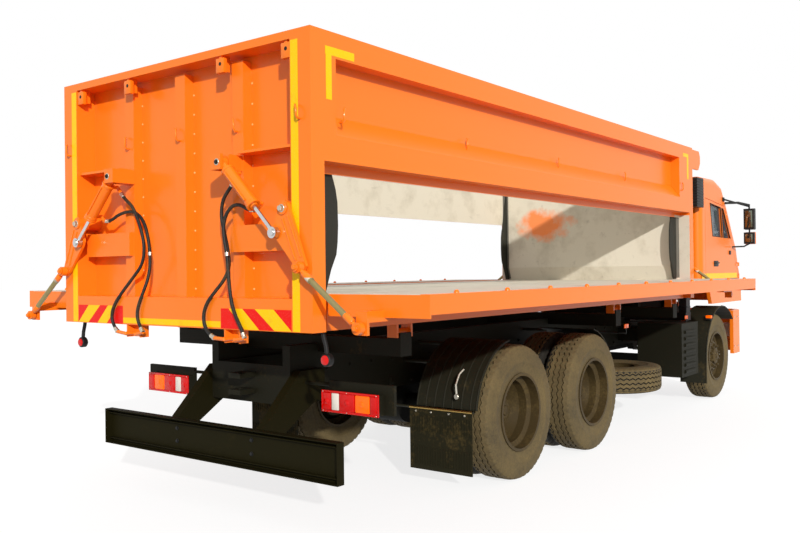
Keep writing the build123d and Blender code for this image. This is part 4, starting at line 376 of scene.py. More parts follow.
# ------------------------------------------------------------------ mesh building
class Piece:
    """Collects bevelled solids, tubes and turned shapes into one mesh."""

    def __init__(self, name):
        self.name = name
        self.bm = bmesh.new()
        self.finishes = []

    def take(self, part, material, bevel=0.0):
        """Adds a finished part, its sharp edges rounded."""
        bmesh.ops.recalc_face_normals(part, faces=part.faces)
        if bevel:
            edges = [e for e in part.edges if len(e.link_faces) == 2 and e.calc_face_angle() > SHARP]
            bmesh.ops.bevel(part, geom=edges, offset=bevel, segments=2, profile=0.5, affect="EDGES",
                            clamp_overlap=True)
        if material not in self.finishes:
            self.finishes.append(material)
        for face in part.faces:
            face.material_index = self.finishes.index(material)
        mesh = bpy.data.meshes.new("part")
        part.to_mesh(mesh)
        part.free()
        self.bm.from_mesh(mesh)
        bpy.data.meshes.remove(mesh)
        return self

    def box(self, low, high, material, bevel=0.003):
        """Box between two corners."""
        part = bmesh.new()
        low, high = Vector(low), Vector(high)
        size = Vector([abs(v) for v in high - low])
        place = Matrix.Translation((low + high) / 2) @ Matrix.Diagonal((*size, 1))
        bmesh.ops.create_cube(part, size=1, matrix=place)
        return self.take(part, material, min(bevel, min(size) * 0.45))

    def side_box(self, s, low, high, material, bevel=0.003):
        """Box given by its corners on the left side, moved to side s."""
        inner, outer = sorted((s * low[1], s * high[1]))
        return self.box((low[0], inner, low[2]), (high[0], outer, high[2]), material, bevel)

    def prism(self, outline, axis, start, end, material, bevel=0.003):
        """Solid of an outline in the plane across an axis: x takes (y, z), y takes (x, z), z takes (x, y)."""
        part = bmesh.new()
        index = "xyz".index(axis)

        def point(pair, along):
            numbers = list(pair)
            numbers.insert(index, along)
            return part.verts.new(numbers)

        first = [point(p, start) for p in outline]
        last = [point(p, end) for p in outline]
        part.faces.new(first)
        part.faces.new(last[::-1])
        for a in range(len(outline)):
            b = (a + 1) % len(outline)
            part.faces.new((first[a], first[b], last[b], last[a]))
        return self.take(part, material, bevel)

    def tube(self, path, radius, material, sides=12, closed=False):
        """Round bar along points, mitred at its corners."""
        part = bmesh.new()
        points = [Vector(p) for p in path]
        rings = []
        count = len(points)
        side = None
        for i, p in enumerate(points):
            back = points[i - 1] if i or closed else p
            ahead = points[(i + 1) % count] if i < count - 1 or closed else p
            along = (ahead - back).normalized()
            if side is None:
                side = along.orthogonal().normalized()
            side = (side - along * side.dot(along)).normalized()
            up = along.cross(side)
            angles = [2 * pi * k / sides for k in range(sides)]
            rings.append([part.verts.new(p + (side * cos(a) + up * sin(a)) * radius) for a in angles])
        for i in range(count if closed else count - 1):
            a, b = rings[i], rings[(i + 1) % count]
            for k in range(sides):
                part.faces.new((a[k], a[(k + 1) % sides], b[(k + 1) % sides], b[k]))
        if not closed:
            part.faces.new(rings[0][::-1])
            part.faces.new(rings[-1])
        return self.take(part, material)

    def turned(self, profile, centre, axis, material, steps=32):
        """Closed outline of (distance along the axis, radius) turned about it."""
        part = bmesh.new()
        axis = Vector(axis).normalized()
        side = axis.orthogonal().normalized()
        up = axis.cross(side)
        rings = []
        for k in range(steps):
            angle = 2 * pi * k / steps
            spoke = side * cos(angle) + up * sin(angle)
            rings.append([part.verts.new(Vector(centre) + axis * d + spoke * max(r, NO_RADIUS))
                          for d, r in profile])
        for k in range(steps):
            a, b = rings[k], rings[(k + 1) % steps]
            for i in range(len(profile)):
                j = (i + 1) % len(profile)
                part.faces.new((a[i], a[j], b[j], b[i]))
        bmesh.ops.remove_doubles(part, verts=part.verts, dist=WELD_DISTANCE)
        return self.take(part, material)

    def disc(self, centre, axis, radius, thick, material, steps=24):
        """Short round bar with chamfered edges, from centre along axis."""
        edge = min(0.002, thick * 0.45, radius * 0.45)
        profile = [(0, 0), (0, radius - edge), (edge, radius), (thick - edge, radius), (thick, radius - edge),
                   (thick, 0)]
        return self.turned(profile, centre, axis, material, steps)

    def nut(self, centre, axis, radius, thick, material):
        """Hexagon nut with its washer."""
        self.disc(centre, axis, radius * 1.25, thick * 0.2, material, steps=16)
        top = Vector(centre) + Vector(axis).normalized() * thick * 0.15
        profile = [(0, 0), (0, radius), (thick * 0.75, radius), (thick, radius * 0.8), (thick, 0)]
        return self.turned(profile, top, axis, material, 6)

    def done(self, body, slot, *replaced, location=None, turn=(0, 0, 0)):
        """Makes the object and lets it ride on its body; slot is not used."""
        mesh = bpy.data.meshes.new(self.name)
        self.bm.to_mesh(mesh)
        self.bm.free()
        for name in self.finishes:
            mesh.materials.append(finish(name))
        mesh.shade_smooth()
        mesh.set_sharp_from_angle(angle=SMOOTH_BELOW)
        item = bpy.data.objects.new(self.name, mesh)
        bpy.context.scene.collection.objects.link(item)
        if location is not None:
            item.location = location
            item.rotation_euler = turn
        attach(item, body)
        if replaced:
            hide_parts(*replaced)
        return item


def dress(nodes, material, soften=0.0):
    """Gives CAD nodes a material, and rounds their edges with a modifier."""
    for name in nodes:
        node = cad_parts[name]
        if node.material_slots:
            for slot in node.material_slots:
                slot.material = finish(material)
        else:
            node.data.materials.append(finish(material))
        if soften:
            edge = node.modifiers.new("soft_edges", "BEVEL")
            edge.width = soften
            edge.segments = 2
            edge.limit_method = "ANGLE"
            edge.angle_limit = radians(40)
            edge.harden_normals = False


def bed(inside, y, z):
    """A point given by its distance inside the bed's rear face."""
    return BED_REAR + inside, y, z


# ------------------------------------------------------------------ the pieces
# points of each hose's route: (metres inside the bed's rear face, distance from the centre plane, height)
HOSES = {
    "right_upper": (-1, 1.125, [
        (0.022, 0.57895, 2.18908), (0.022, 0.53811, 2.14861), (0.025, 0.468, 2.085), (0.025, 0.450, 1.985),
        (0.025, 0.480, 1.880), (0.025, 0.513, 1.770), (0.022, 0.530, 1.670), (0.005, 0.500, 1.590),
        (-0.015, 0.435, 1.518), (-0.020, 0.366, 1.452), (-0.020, 0.330, 1.382), (-0.020, 0.334, 1.314),
        (-0.019, 0.372, 1.262), (-0.018, 0.430, 1.232)]),
    "right_lower": (-1, 1.055, [
        (0.022, 0.75678, 2.00466), (0.022, 0.70178, 2.00466), (0.020, 0.645, 2.040), (0.014, 0.578, 2.046),
        (0.006, 0.522, 1.998), (0.000, 0.498, 1.920), (-0.004, 0.512, 1.835), (-0.006, 0.538, 1.745),
        (-0.008, 0.548, 1.655), (-0.010, 0.558, 1.575), (-0.013, 0.572, 1.500), (-0.017, 0.594, 1.430),
        (-0.020, 0.630, 1.362), (-0.020, 0.674, 1.300), (-0.018, 0.702, 1.240)]),
    "left_upper": (1, 1.18, [
        (0.022, 0.57895, 2.18908), (0.022, 0.53811, 2.14861), (0.025, 0.455, 2.095), (0.025, 0.400, 2.010),
        (0.025, 0.350, 1.910), (0.025, 0.325, 1.800), (0.022, 0.345, 1.695), (0.008, 0.425, 1.612),
        (-0.010, 0.515, 1.522), (-0.018, 0.600, 1.438), (-0.020, 0.644, 1.358), (-0.019, 0.630, 1.286),
        (-0.018, 0.575, 1.238)]),
    "left_lower": (1, 1.22, [
        (0.022, 0.75678, 2.00466), (0.022, 0.70178, 2.00466), (0.036, 0.640, 2.043), (0.049, 0.560, 2.063),
        (0.052, 0.475, 2.060), (0.052, 0.400, 2.022), (0.051, 0.345, 1.950), (0.048, 0.312, 1.860),
        (0.042, 0.290, 1.765), (0.032, 0.276, 1.670), (0.010, 0.274, 1.590), (-0.013, 0.288, 1.515),
        (-0.020, 0.325, 1.442), (-0.020, 0.354, 1.372), (-0.019, 0.340, 1.300), (-0.018, 0.290, 1.244)]),
}
HOSE_RADIUS = 0.011
HOSE_NUT = [(0.001, 0.0), (0.001, 0.0165), (0.012, 0.0165), (0.012, 0.0)]
HOSE_CRIMP = [(0.012, 0.0), (0.012, 0.0138), (0.018, 0.0138), (0.019, 0.0128), (0.021, 0.0128),
              (0.022, 0.0142), (0.036, 0.0142), (0.038, 0.0128), (0.038, 0.0)]
MARKER_LENS = [(0, 0), (0, 0.029), (0.006, 0.026), (0.010, 0.014), (0.011, 0)]
LEVER_PIN = (1.040, 1.997)          # linkage pivots on the left side: (y, z)
CYLINDER_PIN = (0.560, 2.297)
LINK_PIN = (1.183, 1.657)
ROD_PIN = (0.994, 1.859)
BOARD_PIN = (1.620, 1.330)
ENDS = (("rear", BED_REAR, -1), ("front", BED_FRONT, 1))


def make_hoses():
    """Four hydraulic hoses between the cylinders' ports and the elbows under the bed."""
    for name, (s, length, route) in HOSES.items():
        points = [Vector(bed(d, s * y, z)) for d, y, z in route]
        crimps = Piece(f"hose_ends_{name}")
        for end, inward in ((points[0], points[1] - points[0]), (points[-1], points[-2] - points[-1])):
            inward = inward.normalized()
            crimps.turned(HOSE_NUT, end, inward, "steel", 6)
            crimps.turned(HOSE_CRIMP, end, inward, "steel", 20)
        if name.endswith("lower"):
            clamp = [k for k, p in enumerate(points) if 1.70 < p.z < 1.80][0]
            crimps.turned([(-0.011, 0.010), (-0.011, 0.0135), (0.011, 0.0135), (0.011, 0.010)], points[clamp],
                          points[clamp + 1] - points[clamp - 1], "steel", 24)
        ends = crimps.done("bed", "chrome")
        curve = bpy.data.curves.new(f"hose_{name}", "CURVE")
        curve.dimensions = "3D"
        curve.bevel_depth = HOSE_RADIUS
        curve.bevel_resolution = 5
        curve.use_fill_caps = True
        spline = curve.splines.new("NURBS")
        spline.points.add(len(points) - 1)
        for place, point in zip(spline.points, points):
            place.co = (*point, 1)
        spline.order_u = 3
        spline.use_endpoint_u = True
        spline.resolution_u = 8
        curve.materials.append(finish("rubber"))
        hose = bpy.data.objects.new(f"hose_{name}", curve)
        bpy.context.scene.collection.objects.link(hose)
        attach(hose, "bed")
        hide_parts("hydraulic_hoses")


def tyre_ring(steps):
    """A tyre's mesh, with zigzag grooves, notched shoulders and a ringed wall."""
    half = [(0.1200, 0.2904, 0, 0), (0.1255, 0.3060, 0, 0), (0.1265, 0.3220, 0, 0), (0.1330, 0.3500, 0, 0),
            (0.1370, 0.3820, 0, 0), (0.1398, 0.3860, 0, 0), (0.1400, 0.4100, 0, 0), (0.1385, 0.4140, 0, 0),
            (0.1378, 0.4420, 0, 0), (0.1340, 0.4720, 0, 0), (0.1280, 0.4950, 0, 1), (0.1170, 0.5120, 0, 1),
            (0.1020, 0.5180, 0, 1)]
    for groove in (0.072, 0.025):
        half += [(groove + 0.0074, 0.5225, 1, 0), (groove + 0.0056, 0.5075, 1, 0),
                 (groove - 0.0056, 0.5075, 1, 0), (groove - 0.0074, 0.5235, 1, 0)]
    profile = [(-y, r, swing, notch) for y, r, swing, notch in half] + half[::-1]
    part = bmesh.new()
    rings = []
    for k in range(steps):
        angle = 2 * pi * k / steps
        swing = (-1, 0, 1, 0)[k % 4] * 0.0086
        rings.append([])
        for y, r, swings, notched in profile:
            reach = r - 0.009 * notched * (k % 4 == 0)
            rings[-1].append(part.verts.new((reach * cos(angle), y + swing * swings, reach * sin(angle))))
    for k in range(steps):
        a, b = rings[k], rings[(k + 1) % steps]
        for i in range(len(profile)):
            j = (i + 1) % len(profile)
            part.faces.new((a[i], a[j], b[j], b[i]))
    return part


def make_tyres(steps):
    """Treaded tyres of the wheels and the spare."""
    tyres = []
    for side, s in SIDES.items():
        tyres.append((f"tyre_front_{side}", f"wheel_front_{side}", AXLE_FRONT, [s * 1.030]))
        for row, x in (("mid", AXLE_MID), ("rear", AXLE_REAR)):
            tyres.append((f"tyres_{row}_{side}", f"wheels_{row}_{side}", x, [s * 0.785, s * 1.099]))
    ring = tyre_ring(steps)
    for node, body, x, places in tyres:
        piece = Piece(f"treaded_{node}")
        middle = sum(places) / len(places)
        for y in places:
            part = ring.copy()
            bmesh.ops.translate(part, verts=part.verts, vec=(0, y - middle, 0))
            piece.take(part, "tyre")
        piece.done(body, "tyre", node, location=(x, middle, WHEEL_RADIUS))
    spare = Piece("spare_tyre")
    spare.take(ring, "tyre")
    well = [(-0.118, 0.240), (-0.118, 0.294), (-0.090, 0.294), (-0.085, 0.262),
            (0.085, 0.262), (0.090, 0.294), (0.118, 0.294), (0.118, 0.240)]
    disc = [(0.030, 0.085), (0.030, 0.245), (0.042, 0.245), (0.042, 0.085)]
    for profile in (well, disc):
        spare.turned(profile, (0, 0, 0), (0, 1, 0), "rim", 48)
    spare.done("chassis", "tyre", "spare_wheel", location=(1.210, -0.625, 0.440), turn=(pi / 2, 0, 0))


def around(axle, radius, count, first):
    """Places (x, z) evenly spaced round an axle, the first at an angle in degrees."""
    angles = [radians(first + 360 / count * k) for k in range(count)]
    return [(axle + radius * cos(a), WHEEL_RADIUS + radius * sin(a)) for a in angles]


def make_hubs():
    """Wheel nuts, hub caps and valve stems."""
    for side, s in SIDES.items():
        hub = Piece(f"hub_fittings_front_{side}")
        out = Vector((0, s, 0))
        for x, z in around(AXLE_FRONT, 0.137, 10, 18):
            hub.nut((x, s * 1.1245, z), out, 0.017, 0.026, "rim")
            hub.disc((x, s * 1.149, z), out, 0.009, 0.010, "rim", steps=12)
        for x, z in around(AXLE_FRONT, 0.05, 8, 22.5):
            hub.nut((x, s * 1.1645, z), out, 0.007, 0.006, "rim")
        cap = [(0, 0), (0, 0.036), (0.008, 0.034), (0.014, 0.022), (0.016, 0.0)]
        hub.turned(cap, (AXLE_FRONT, s * 1.1645, WHEEL_RADIUS), out, "rim", 28)
        valve = [(AXLE_FRONT + 0.23, s * 1.10, WHEEL_RADIUS), (AXLE_FRONT + 0.215, s * 1.135, WHEEL_RADIUS)]
        hub.tube(valve, 0.005, "steel", 8)
        hub.done(f"wheel_front_{side}", "rim_paint")
        for row, axle in (("mid", AXLE_MID), ("rear", AXLE_REAR)):
            hub = Piece(f"hub_fittings_{row}_{side}")
            for x, z in around(axle, 0.152, 10, 18):
                hub.nut((x, s * 0.9415, z), out, 0.016, 0.028, "rim")
                hub.disc((x, s * 0.968, z), out, 0.009, 0.012, "rim", steps=12)
            for x, z in around(axle, 0.075, 8, 0):
                hub.nut((x, s * 1.0765, z), out, 0.008, 0.009, "rim")
            cap = [(0, 0), (0, 0.042), (0.008, 0.040), (0.014, 0.026), (0.016, 0.0)]
            hub.turned(cap, (axle, s * 1.0845, WHEEL_RADIUS), out, "rim", 28)
            hub.done(f"wheels_{row}_{side}", "rim_paint")


def make_springs():
    """Leaf springs as stacks of curved leaves with their clamps and bolts."""
    piece = Piece("leaf_stacks")
    trunnion = (AXLE_MID + AXLE_REAR) / 2
    runs = 12

    def leaf(x, y0, y1, z, half, full, droop, thick):
        xs = [-half + 2 * half * k / runs for k in range(runs + 1)]
        low = [(x + d, z + droop * (d / full) ** 2) for d in xs]
        high = [(px, pz + thick - 0.0012) for px, pz in reversed(low)]
        piece.prism(low + high, "y", y0, y1, "iron", 0.003)

    def u_bolt(x, inner, outer, foot, top):
        piece.tube([(x, inner, foot), (x, inner, top), (x, outer, top), (x, outer, foot)], 0.0075, "iron", 10)

    for s in SIDES.values():
        low, high = sorted((s * 0.415, s * 0.495))
        for k in range(9):
            leaf(trunnion, low, high, 0.700 + 0.0166 * k, 0.732 * (1 - 0.09 * k), 0.732, -0.04, 0.0166)
        for x in (-0.11, -0.06, 0.06, 0.11):
            u_bolt(trunnion + x, s * 0.407, s * 0.503, 0.70, 0.862)
        piece.side_box(s, (trunnion - 0.13, 0.411, 0.849), (trunnion + 0.13, 0.499, 0.866), "iron", 0.004)
        for x in (-0.34, 0.34):
            low, high = (trunnion + x - 0.02, 0.410, 0.688), (trunnion + x + 0.02, 0.500, 0.798)
            piece.side_box(s, low, high, "iron", 0.003)
        low, high = sorted((s * 0.325, s * 0.395))
        for k in range(4):
            leaf(AXLE_FRONT, low, high, 0.617 - 0.019 * k, 0.8 - 0.16 * k, 0.8, 0.025, 0.019)
        for x in (-0.07, 0.07):
            u_bolt(AXLE_FRONT + x, s * 0.317, s * 0.403, 0.52, 0.645)
        for x in (-0.35, 0.35):
            low, high = (AXLE_FRONT + x - 0.018, 0.319, 0.560), (AXLE_FRONT + x + 0.018, 0.401, 0.642)
            piece.side_box(s, low, high, "iron", 0.003)
    piece.done("chassis", "spring_steel")


def make_linkage():
    """Pin heads, link sleeves, cylinder rings and port fittings."""
    for end, face, out in ENDS:
        for side, s in SIDES.items():
            axis = Vector((out, 0, 0))

            def at(pin, offset):
                return Vector((face + out * offset, s * pin[0], pin[1]))

            lever = Piece(f"lever_fittings_{end}_{side}")
            lever.nut(at(LEVER_PIN, 0.038), axis, 0.019, 0.018, "steel")
            lever.disc(at(LEVER_PIN, 0.030), axis, 0.038, 0.009, "orange", steps=28)
            lever.nut(at(LINK_PIN, 0.0865), axis, 0.014, 0.009, "orange")
            down = Vector((0, s * (LINK_PIN[0] - LEVER_PIN[0]), LINK_PIN[1] - LEVER_PIN[1])).normalized()
            flat = axis.cross(down)
            for edge in (-0.022, 0.022):
                middle = at(LEVER_PIN, 0.0325) + flat * edge
                lever.tube([middle + down * 0.055, middle + down * 0.315], 0.0045, "orange", 8)
            lever.done(f"lever_{end}_{side}", "orange_paint")
            link = Piece(f"link_sleeves_{end}_{side}")
            start, stop = at(LINK_PIN, 0.056), at(BOARD_PIN, 0.056)
            along = (stop - start).normalized()
            for a, b in ((0.050, 0.118), (0.430, 0.496)):
                sleeve = [(a, 0), (a, 0.0180), (a + 0.004, 0.0205), (b - 0.004, 0.0205), (b, 0.0180), (b, 0)]
                link.turned(sleeve, start, along, "orange", 24)
            link.turned([(0.118, 0), (0.118, 0.0172), (0.430, 0.0172), (0.430, 0)], start, along, "tube", 24)
            link.turned([(0.118, 0), (0.118, 0.0205), (0.130, 0.0205), (0.130, 0)], start, along, "tube", 6)
            link.done(f"link_{end}_{side}", "chassis_paint")
            board = Piece(f"board_pin_{end}_{side}")
            board.nut(at(BOARD_PIN, 0.0865), axis, 0.014, 0.009, "orange")
            board.done(f"side_board_{side}", "orange_paint")
    for side, s in SIDES.items():
        start = Vector((BED_REAR - 0.056, s * CYLINDER_PIN[0], CYLINDER_PIN[1]))
        stop = Vector((BED_REAR - 0.056, s * ROD_PIN[0], ROD_PIN[1]))
        along = (stop - start).normalized()
        barrel = Piece(f"cylinder_rings_{side}")
        for a, b, r in ((0.066, 0.084, 0.0415), (0.352, 0.372, 0.0415), (0.372, 0.389, 0.0435)):
            band = [(a, 0.030), (a, r - 0.002), (a + 0.002, r), (b - 0.002, r), (b, r - 0.002), (b, 0.030)]
            barrel.turned(band, start, along, "orange", 40)
        wiper = [(0.389, 0.0137), (0.389, 0.026), (0.396, 0.024), (0.396, 0.0137)]
        barrel.turned(wiper, start, along, "orange", 32)
        pin = Vector((BED_REAR - 0.0985, start.y, start.z))
        barrel.disc(pin, (-1, 0, 0), 0.021, 0.005, "steel")
        barrel.nut(pin - Vector((0.004, 0, 0)), (-1, 0, 0), 0.012, 0.009, "trim")
        beside = Vector((-0.043, 0, 0))
        barrel.tube([start + along * 0.10 + beside, start + along * 0.345 + beside], 0.0055, "orange", 10)
        barrel.done(f"cylinder_{side}", "orange_paint")


def make_rope_hooks():
    """Hooks for the cover's rope along the panels and across the rear wall."""
    hooks = Piece("rope_hooks")
    for s in SIDES.values():
        for d in (0.253, 1.695, 3.133, 4.564, 5.98):
            x = BED_REAR + d
            face = 1.232 if d < 0.3 or d > 5.9 else 1.150
            hooks.tube([(x, s * face, 2.500), (x, s * (face + 0.026), 2.500), (x, s * (face + 0.036), 2.514),
                        (x, s * (face + 0.036), 2.556), (x + 0.010, s * (face + 0.030), 2.576),
                        (x + 0.024, s * (face + 0.018), 2.584)], 0.0065, "orange", 10)
    for y in (-1.16, -0.555, 0.0, 0.555, 1.16):
        x = BED_REAR + (0.008 if abs(y) > 1 else 0.083)
        hooks.tube([(x, y, 2.50), (x - 0.034, y, 2.50), (x - 0.044, y, 2.514), (x - 0.044, y, 2.550),
                    (x - 0.036, y + 0.012, 2.572), (x - 0.022, y + 0.026, 2.580)], 0.0065, "orange", 10)
    hooks.done("bed", "orange_paint")


def make_weld_dots():
    """Plug welds along the rear wall's ribs, painted pale as glints, and the lugs under its top rail, each
    with a dark disc as painted shade for its hole.
    """
    dots = Piece("weld_dots")
    for y in (-0.555, 0.0, 0.555):
        for edge in (-0.057, 0.057):
            for k in range(11):
                z = 1.53 + 0.127 * k
                if 2.34 < z < 2.38 or (abs(y) > 0.5 and 1.74 < z < 1.94):
                    continue
                # each plug weld is coloured pale: a painted glint
                dots.turned([(0, 0), (0, 0.007), (0.004, 0.006), (0.006, 0.0)], bed(0.1455, y + edge, z),
                            (-1, 0, 0), "weld_glint", 10)
    for y in (-1.041, -0.475, 0.475, 1.041):
        dots.box(bed(0.0045, y - 0.036, 2.862), bed(0.0345, y + 0.036, 2.952), "orange", 0.003)
        # a dark disc on each lug: painted shade standing for its hole
        dots.disc(bed(0.0048, y - 0.004, 2.916), (-1, 0, 0), 0.012, 0.0015, "trim")
    dots.done("bed", "orange_paint")


def make_liner_edges():
    """Dark grey sheets at the edges of the liner that bulges into the bed at both ends, painted shade for the
    bulges' shaded sides.
    """
    edges = Piece("liner_edges")
    outline = [(0.148, 2.900), (0.230, 2.650), (0.300, 2.330), (0.329, 2.206), (0.358, 2.130), (0.374, 2.050),
               (0.378, 1.910), (0.372, 1.810), (0.360, 1.735), (0.311, 1.642), (0.283, 1.566), (0.262, 1.508),
               (0.148, 1.508)]
    for s in SIDES.values():
        low, high = sorted((s * 1.088, s * 1.103))
        edges.prism([(BED_REAR + d, z) for d, z in outline], "y", low, high, "liner_shade", 0.003)
        edges.prism([(BED_FRONT - d, z) for d, z in outline], "y", low, high, "liner_shade", 0.003)
    edges.done("bed", "orange_paint")


def make_tape():
    """Reflective tape on the rear posts and rail, and at the corners of the sides."""
    strips = Piece("reflective_tape")
    x0, x1 = BED_REAR - TAPE_THICK, BED_REAR + 0.0005
    for s in SIDES.values():
        strips.side_box(s, (x0, 1.086, 1.292), (x1, 1.143, 2.955), "yellow", 0)
        inner, outer = (0.54 if s > 0 else 0.47), 1.075
        strips.side_box(s, (x0, inner, 1.292), (x1, outer, 1.415), "red", 0)
        for a, b, c, d in ((0.12, 0.32, 0.56, 0.35), (0.50, 0.76, 1.0, 0.77)):
            band = ((a, 1.415), (b, 1.415), (c, 1.292), (d, 1.292))
            corners = [(s * (inner + (outer - inner) * f), z) for f, z in band]
            strips.prism(corners, "x", x0 - 0.0006, x0 + 0.0004, "yellow", 0)
        for d0, d1, z0, z1 in ((0.126, 0.380, 2.878, 2.926), (0.130, 0.178, 2.620, 2.878),
                               (6.070, 6.190, 2.888, 2.928), (6.190, 6.238, 2.640, 2.928)):
            low, high = bed(d0, HALF_WIDTH - 0.0005, z0), bed(d1, HALF_WIDTH + TAPE_THICK, z1)
            strips.side_box(s, low, high, "yellow", 0)
    strips.box((x0, -0.465, 1.297), (x1, 0.535, 1.335), "yellow", 0)
    strips.done("bed", "orange_paint")


def make_marker_lamps():
    """Lamps on rubber arms under the rear corners, red behind and white in front."""
    lamps = Piece("marker_lamps")
    for s in SIDES.values():
        x = BED_REAR + 0.128
        arm = [(1.195, 1.300), (1.205, 1.255), (1.222, 1.205), (1.228, 1.160)]
        lamps.tube([(x, s * y, z) for y, z in arm], 0.013, "trim", 14)
        body = [(-0.022, 0), (-0.022, 0.030), (-0.016, 0.038), (0.016, 0.038), (0.022, 0.030), (0.022, 0)]
        lamps.turned(body, (x, s * 1.230, 1.128), (1, 0, 0), "trim", 28)
        for way, lens in ((-1, "red_lens"), (1, "white_lens")):
            lamps.turned(MARKER_LENS, (x + way * 0.021, s * 1.230, 1.128), (way, 0, 0), lens, 28)
    lamps.done("bed", "lamp_plastic")


def make_board_trim():
    """Row of round lugs on the outer rails of the side boards."""
    lug = [(0, 0), (0, 0.016), (0.010, 0.015), (0.018, 0.009), (0.019, 0)]
    for side, s in SIDES.items():
        piece = Piece(f"board_fittings_{side}")
        for k in range(11):
            x = BED_REAR + 0.42 + 0.55 * k
            piece.turned(lug, (x, s * 1.925, 1.5075), (0, 0, 1), "orange", 16)
        piece.done(f"side_board_{side}", "orange_paint")


# segments of the left tail lamp: (inner edge, outer edge, lens)
TAIL_LENSES = ((0.693, 0.772, "red_lens"), (0.772, 0.838, "white_lens"), (0.838, 0.974, "red_lens"),
               (0.974, 1.096, "amber_lens"), (1.096, 1.159, "red_lens"))


def make_lamps():
    """Tail lamp lenses, headlamp lenses, side markers."""
    piece = Piece("lamp_lenses")
    x = BED_REAR + 0.670
    dome = [(0, 0), (0, 0.020), (0.004, 0.014), (0.006, 0)]
    for s in SIDES.values():
        for a, b, name in TAIL_LENSES:
            piece.side_box(s, (x - 0.010, a + 0.003, 0.730), (x + 0.001, b - 0.003, 0.840), name, 0.005)
        for y in (0.732, 0.906, 1.034):
            lens = "amber_lens" if y > 1 else "red_lens"
            piece.turned(dome, (x - 0.010, s * y, 0.785), (-1, 0, 0), lens, 24)
        for z0, z1 in ((0.714, 0.729), (0.841, 0.856)):
            piece.side_box(s, (x - 0.009, 0.686, z0), (x + 0.001, 1.166, z1), "red_lens", 0.002)
        for y in (0.690, 1.163):
            piece.side_box(s, (x - 0.009, y - 0.005, 0.714), (x + 0.001, y + 0.005, 0.856), "red_lens", 0.002)
        for z in (0.722, 0.848):
            for y in (0.70, 0.905, 1.15):
                piece.disc((x - 0.0085, s * y, z), (-1, 0, 0), 0.004, 0.002, "steel", steps=10)
        px = 2.756
        piece.side_box(s, (px - 0.032, 1.165, 0.992), (px + 0.032, 1.236, 1.018), "black", 0.003)
        piece.side_box(s, (px - 0.026, 1.170, 1.017), (px + 0.026, 1.238, 1.052), "amber_lens", 0.008)
        z = 1.06
        for marker in (0.35, 2.10):
            low, high = (marker - 0.050, 1.150, z - 0.02), (marker + 0.050, 1.156, z + 0.02)
            piece.side_box(s, low, high, "amber_lens", 0.002)
            stalk = [(marker, s * 0.395, z - 0.07), (marker, s * 1.151, z - 0.07), (marker, s * 1.151, z)]
            piece.tube(stalk, 0.007, "black", 8)
        cover = [(4.293, 0.772), (4.268, 0.900), (4.233, 1.030), (4.220, 1.030), (4.262, 0.895),
                 (4.285, 0.772)]
        piece.prism([(a, s * b) for a, b in cover], "z", 0.708, 0.872, "lamp_glass", 0.002)
    piece.done("chassis", "lamp_plastic")


def make_rail_bolts():
    """Two rows of bolts along each frame rail."""
    bolts = Piece("rail_bolts")
    for s in SIDES.values():
        out = Vector((0, s, 0))
        for k in range(30):
            x = -3.48 + 0.25 * k
            for z in (0.762, 0.948):
                bolts.nut((x, s * 0.3998, z), out, 0.012, 0.011, "frame")
    bolts.done("chassis", "chassis_paint")


def make_tank_straps():
    """Straps and filler cap of the fuel tank, and the bands of the air tanks."""
    straps = Piece("tank_straps")
    path = [(0.520, 0.53), (0.517, 0.89), (0.55, 0.968), (0.63, 1.003), (1.04, 1.003), (1.12, 0.970),
            (1.153, 0.89), (1.153, 0.53), (1.12, 0.450), (1.04, 0.417), (0.63, 0.417), (0.55, 0.450)]
    for x in (0.56, 1.32):
        for d in (-0.018, 0.018):
            straps.tube([(x + d, y, z) for y, z in path], 0.007, "steel", 8, closed=True)
    cap = [(0, 0), (0, 0.056), (0.006, 0.058), (0.024, 0.058), (0.028, 0.050), (0.028, 0)]
    straps.turned(cap, (0.92, 0.70, 1.0), (0, 0, 1), "trim", 32)
    band = [(-0.02, 0.1295), (-0.02, 0.133), (0.02, 0.133), (0.02, 0.1295)]
    for x in (1.740, 2.190):
        for y in (0.68, 0.98):
            straps.turned(band, (x, y, 0.590), (0, 1, 0), "steel", 40)
    straps.done("chassis", "tank_metal")


def make_guard_ribs():
    """Ribs of the mudguards and the hooks behind the rear ones."""
    guards = Piece("guard_ribs")
    for s in SIDES.values():
        for axle, a0, a1 in ((AXLE_REAR, 98, 172), (AXLE_MID, 12, 78)):
            count = 16
            for y in (0.640, 0.720, 0.800, 0.880, 0.960, 1.040, 1.120, 1.172):
                path = []
                for k in range(count + 1):
                    a = radians(a0 + (a1 - a0) * k / count)
                    path.append((axle + 0.568 * cos(a), s * y, WHEEL_RADIUS + 0.568 * sin(a)))
                guards.tube(path, 0.0065, "guard", 8)
        path = []
        for k in range(13):
            a = radians(45 + 135 * k / 12)
            path.append((AXLE_FRONT + 0.628 * cos(a), s * 1.232, WHEEL_RADIUS + 0.628 * sin(a)))
        guards.tube(path + [(AXLE_FRONT - 0.628, s * 1.232, 0.256)], 0.0065, "guard", 8)
        hook = Vector((AXLE_REAR - 0.585, s * 1.02, 0.700))
        guards.tube([hook, hook + Vector((-0.012, 0, 0.09)), hook + Vector((0.035, 0, 0.16)),
                     hook + Vector((0.055, s * 0.03, 0.20))], 0.008, "steel", 10)
        guards.disc(hook + Vector((0.004, 0, 0)), (-1, 0, 0), 0.020, 0.016, "steel")
    guards.done("chassis", "black_plastic")


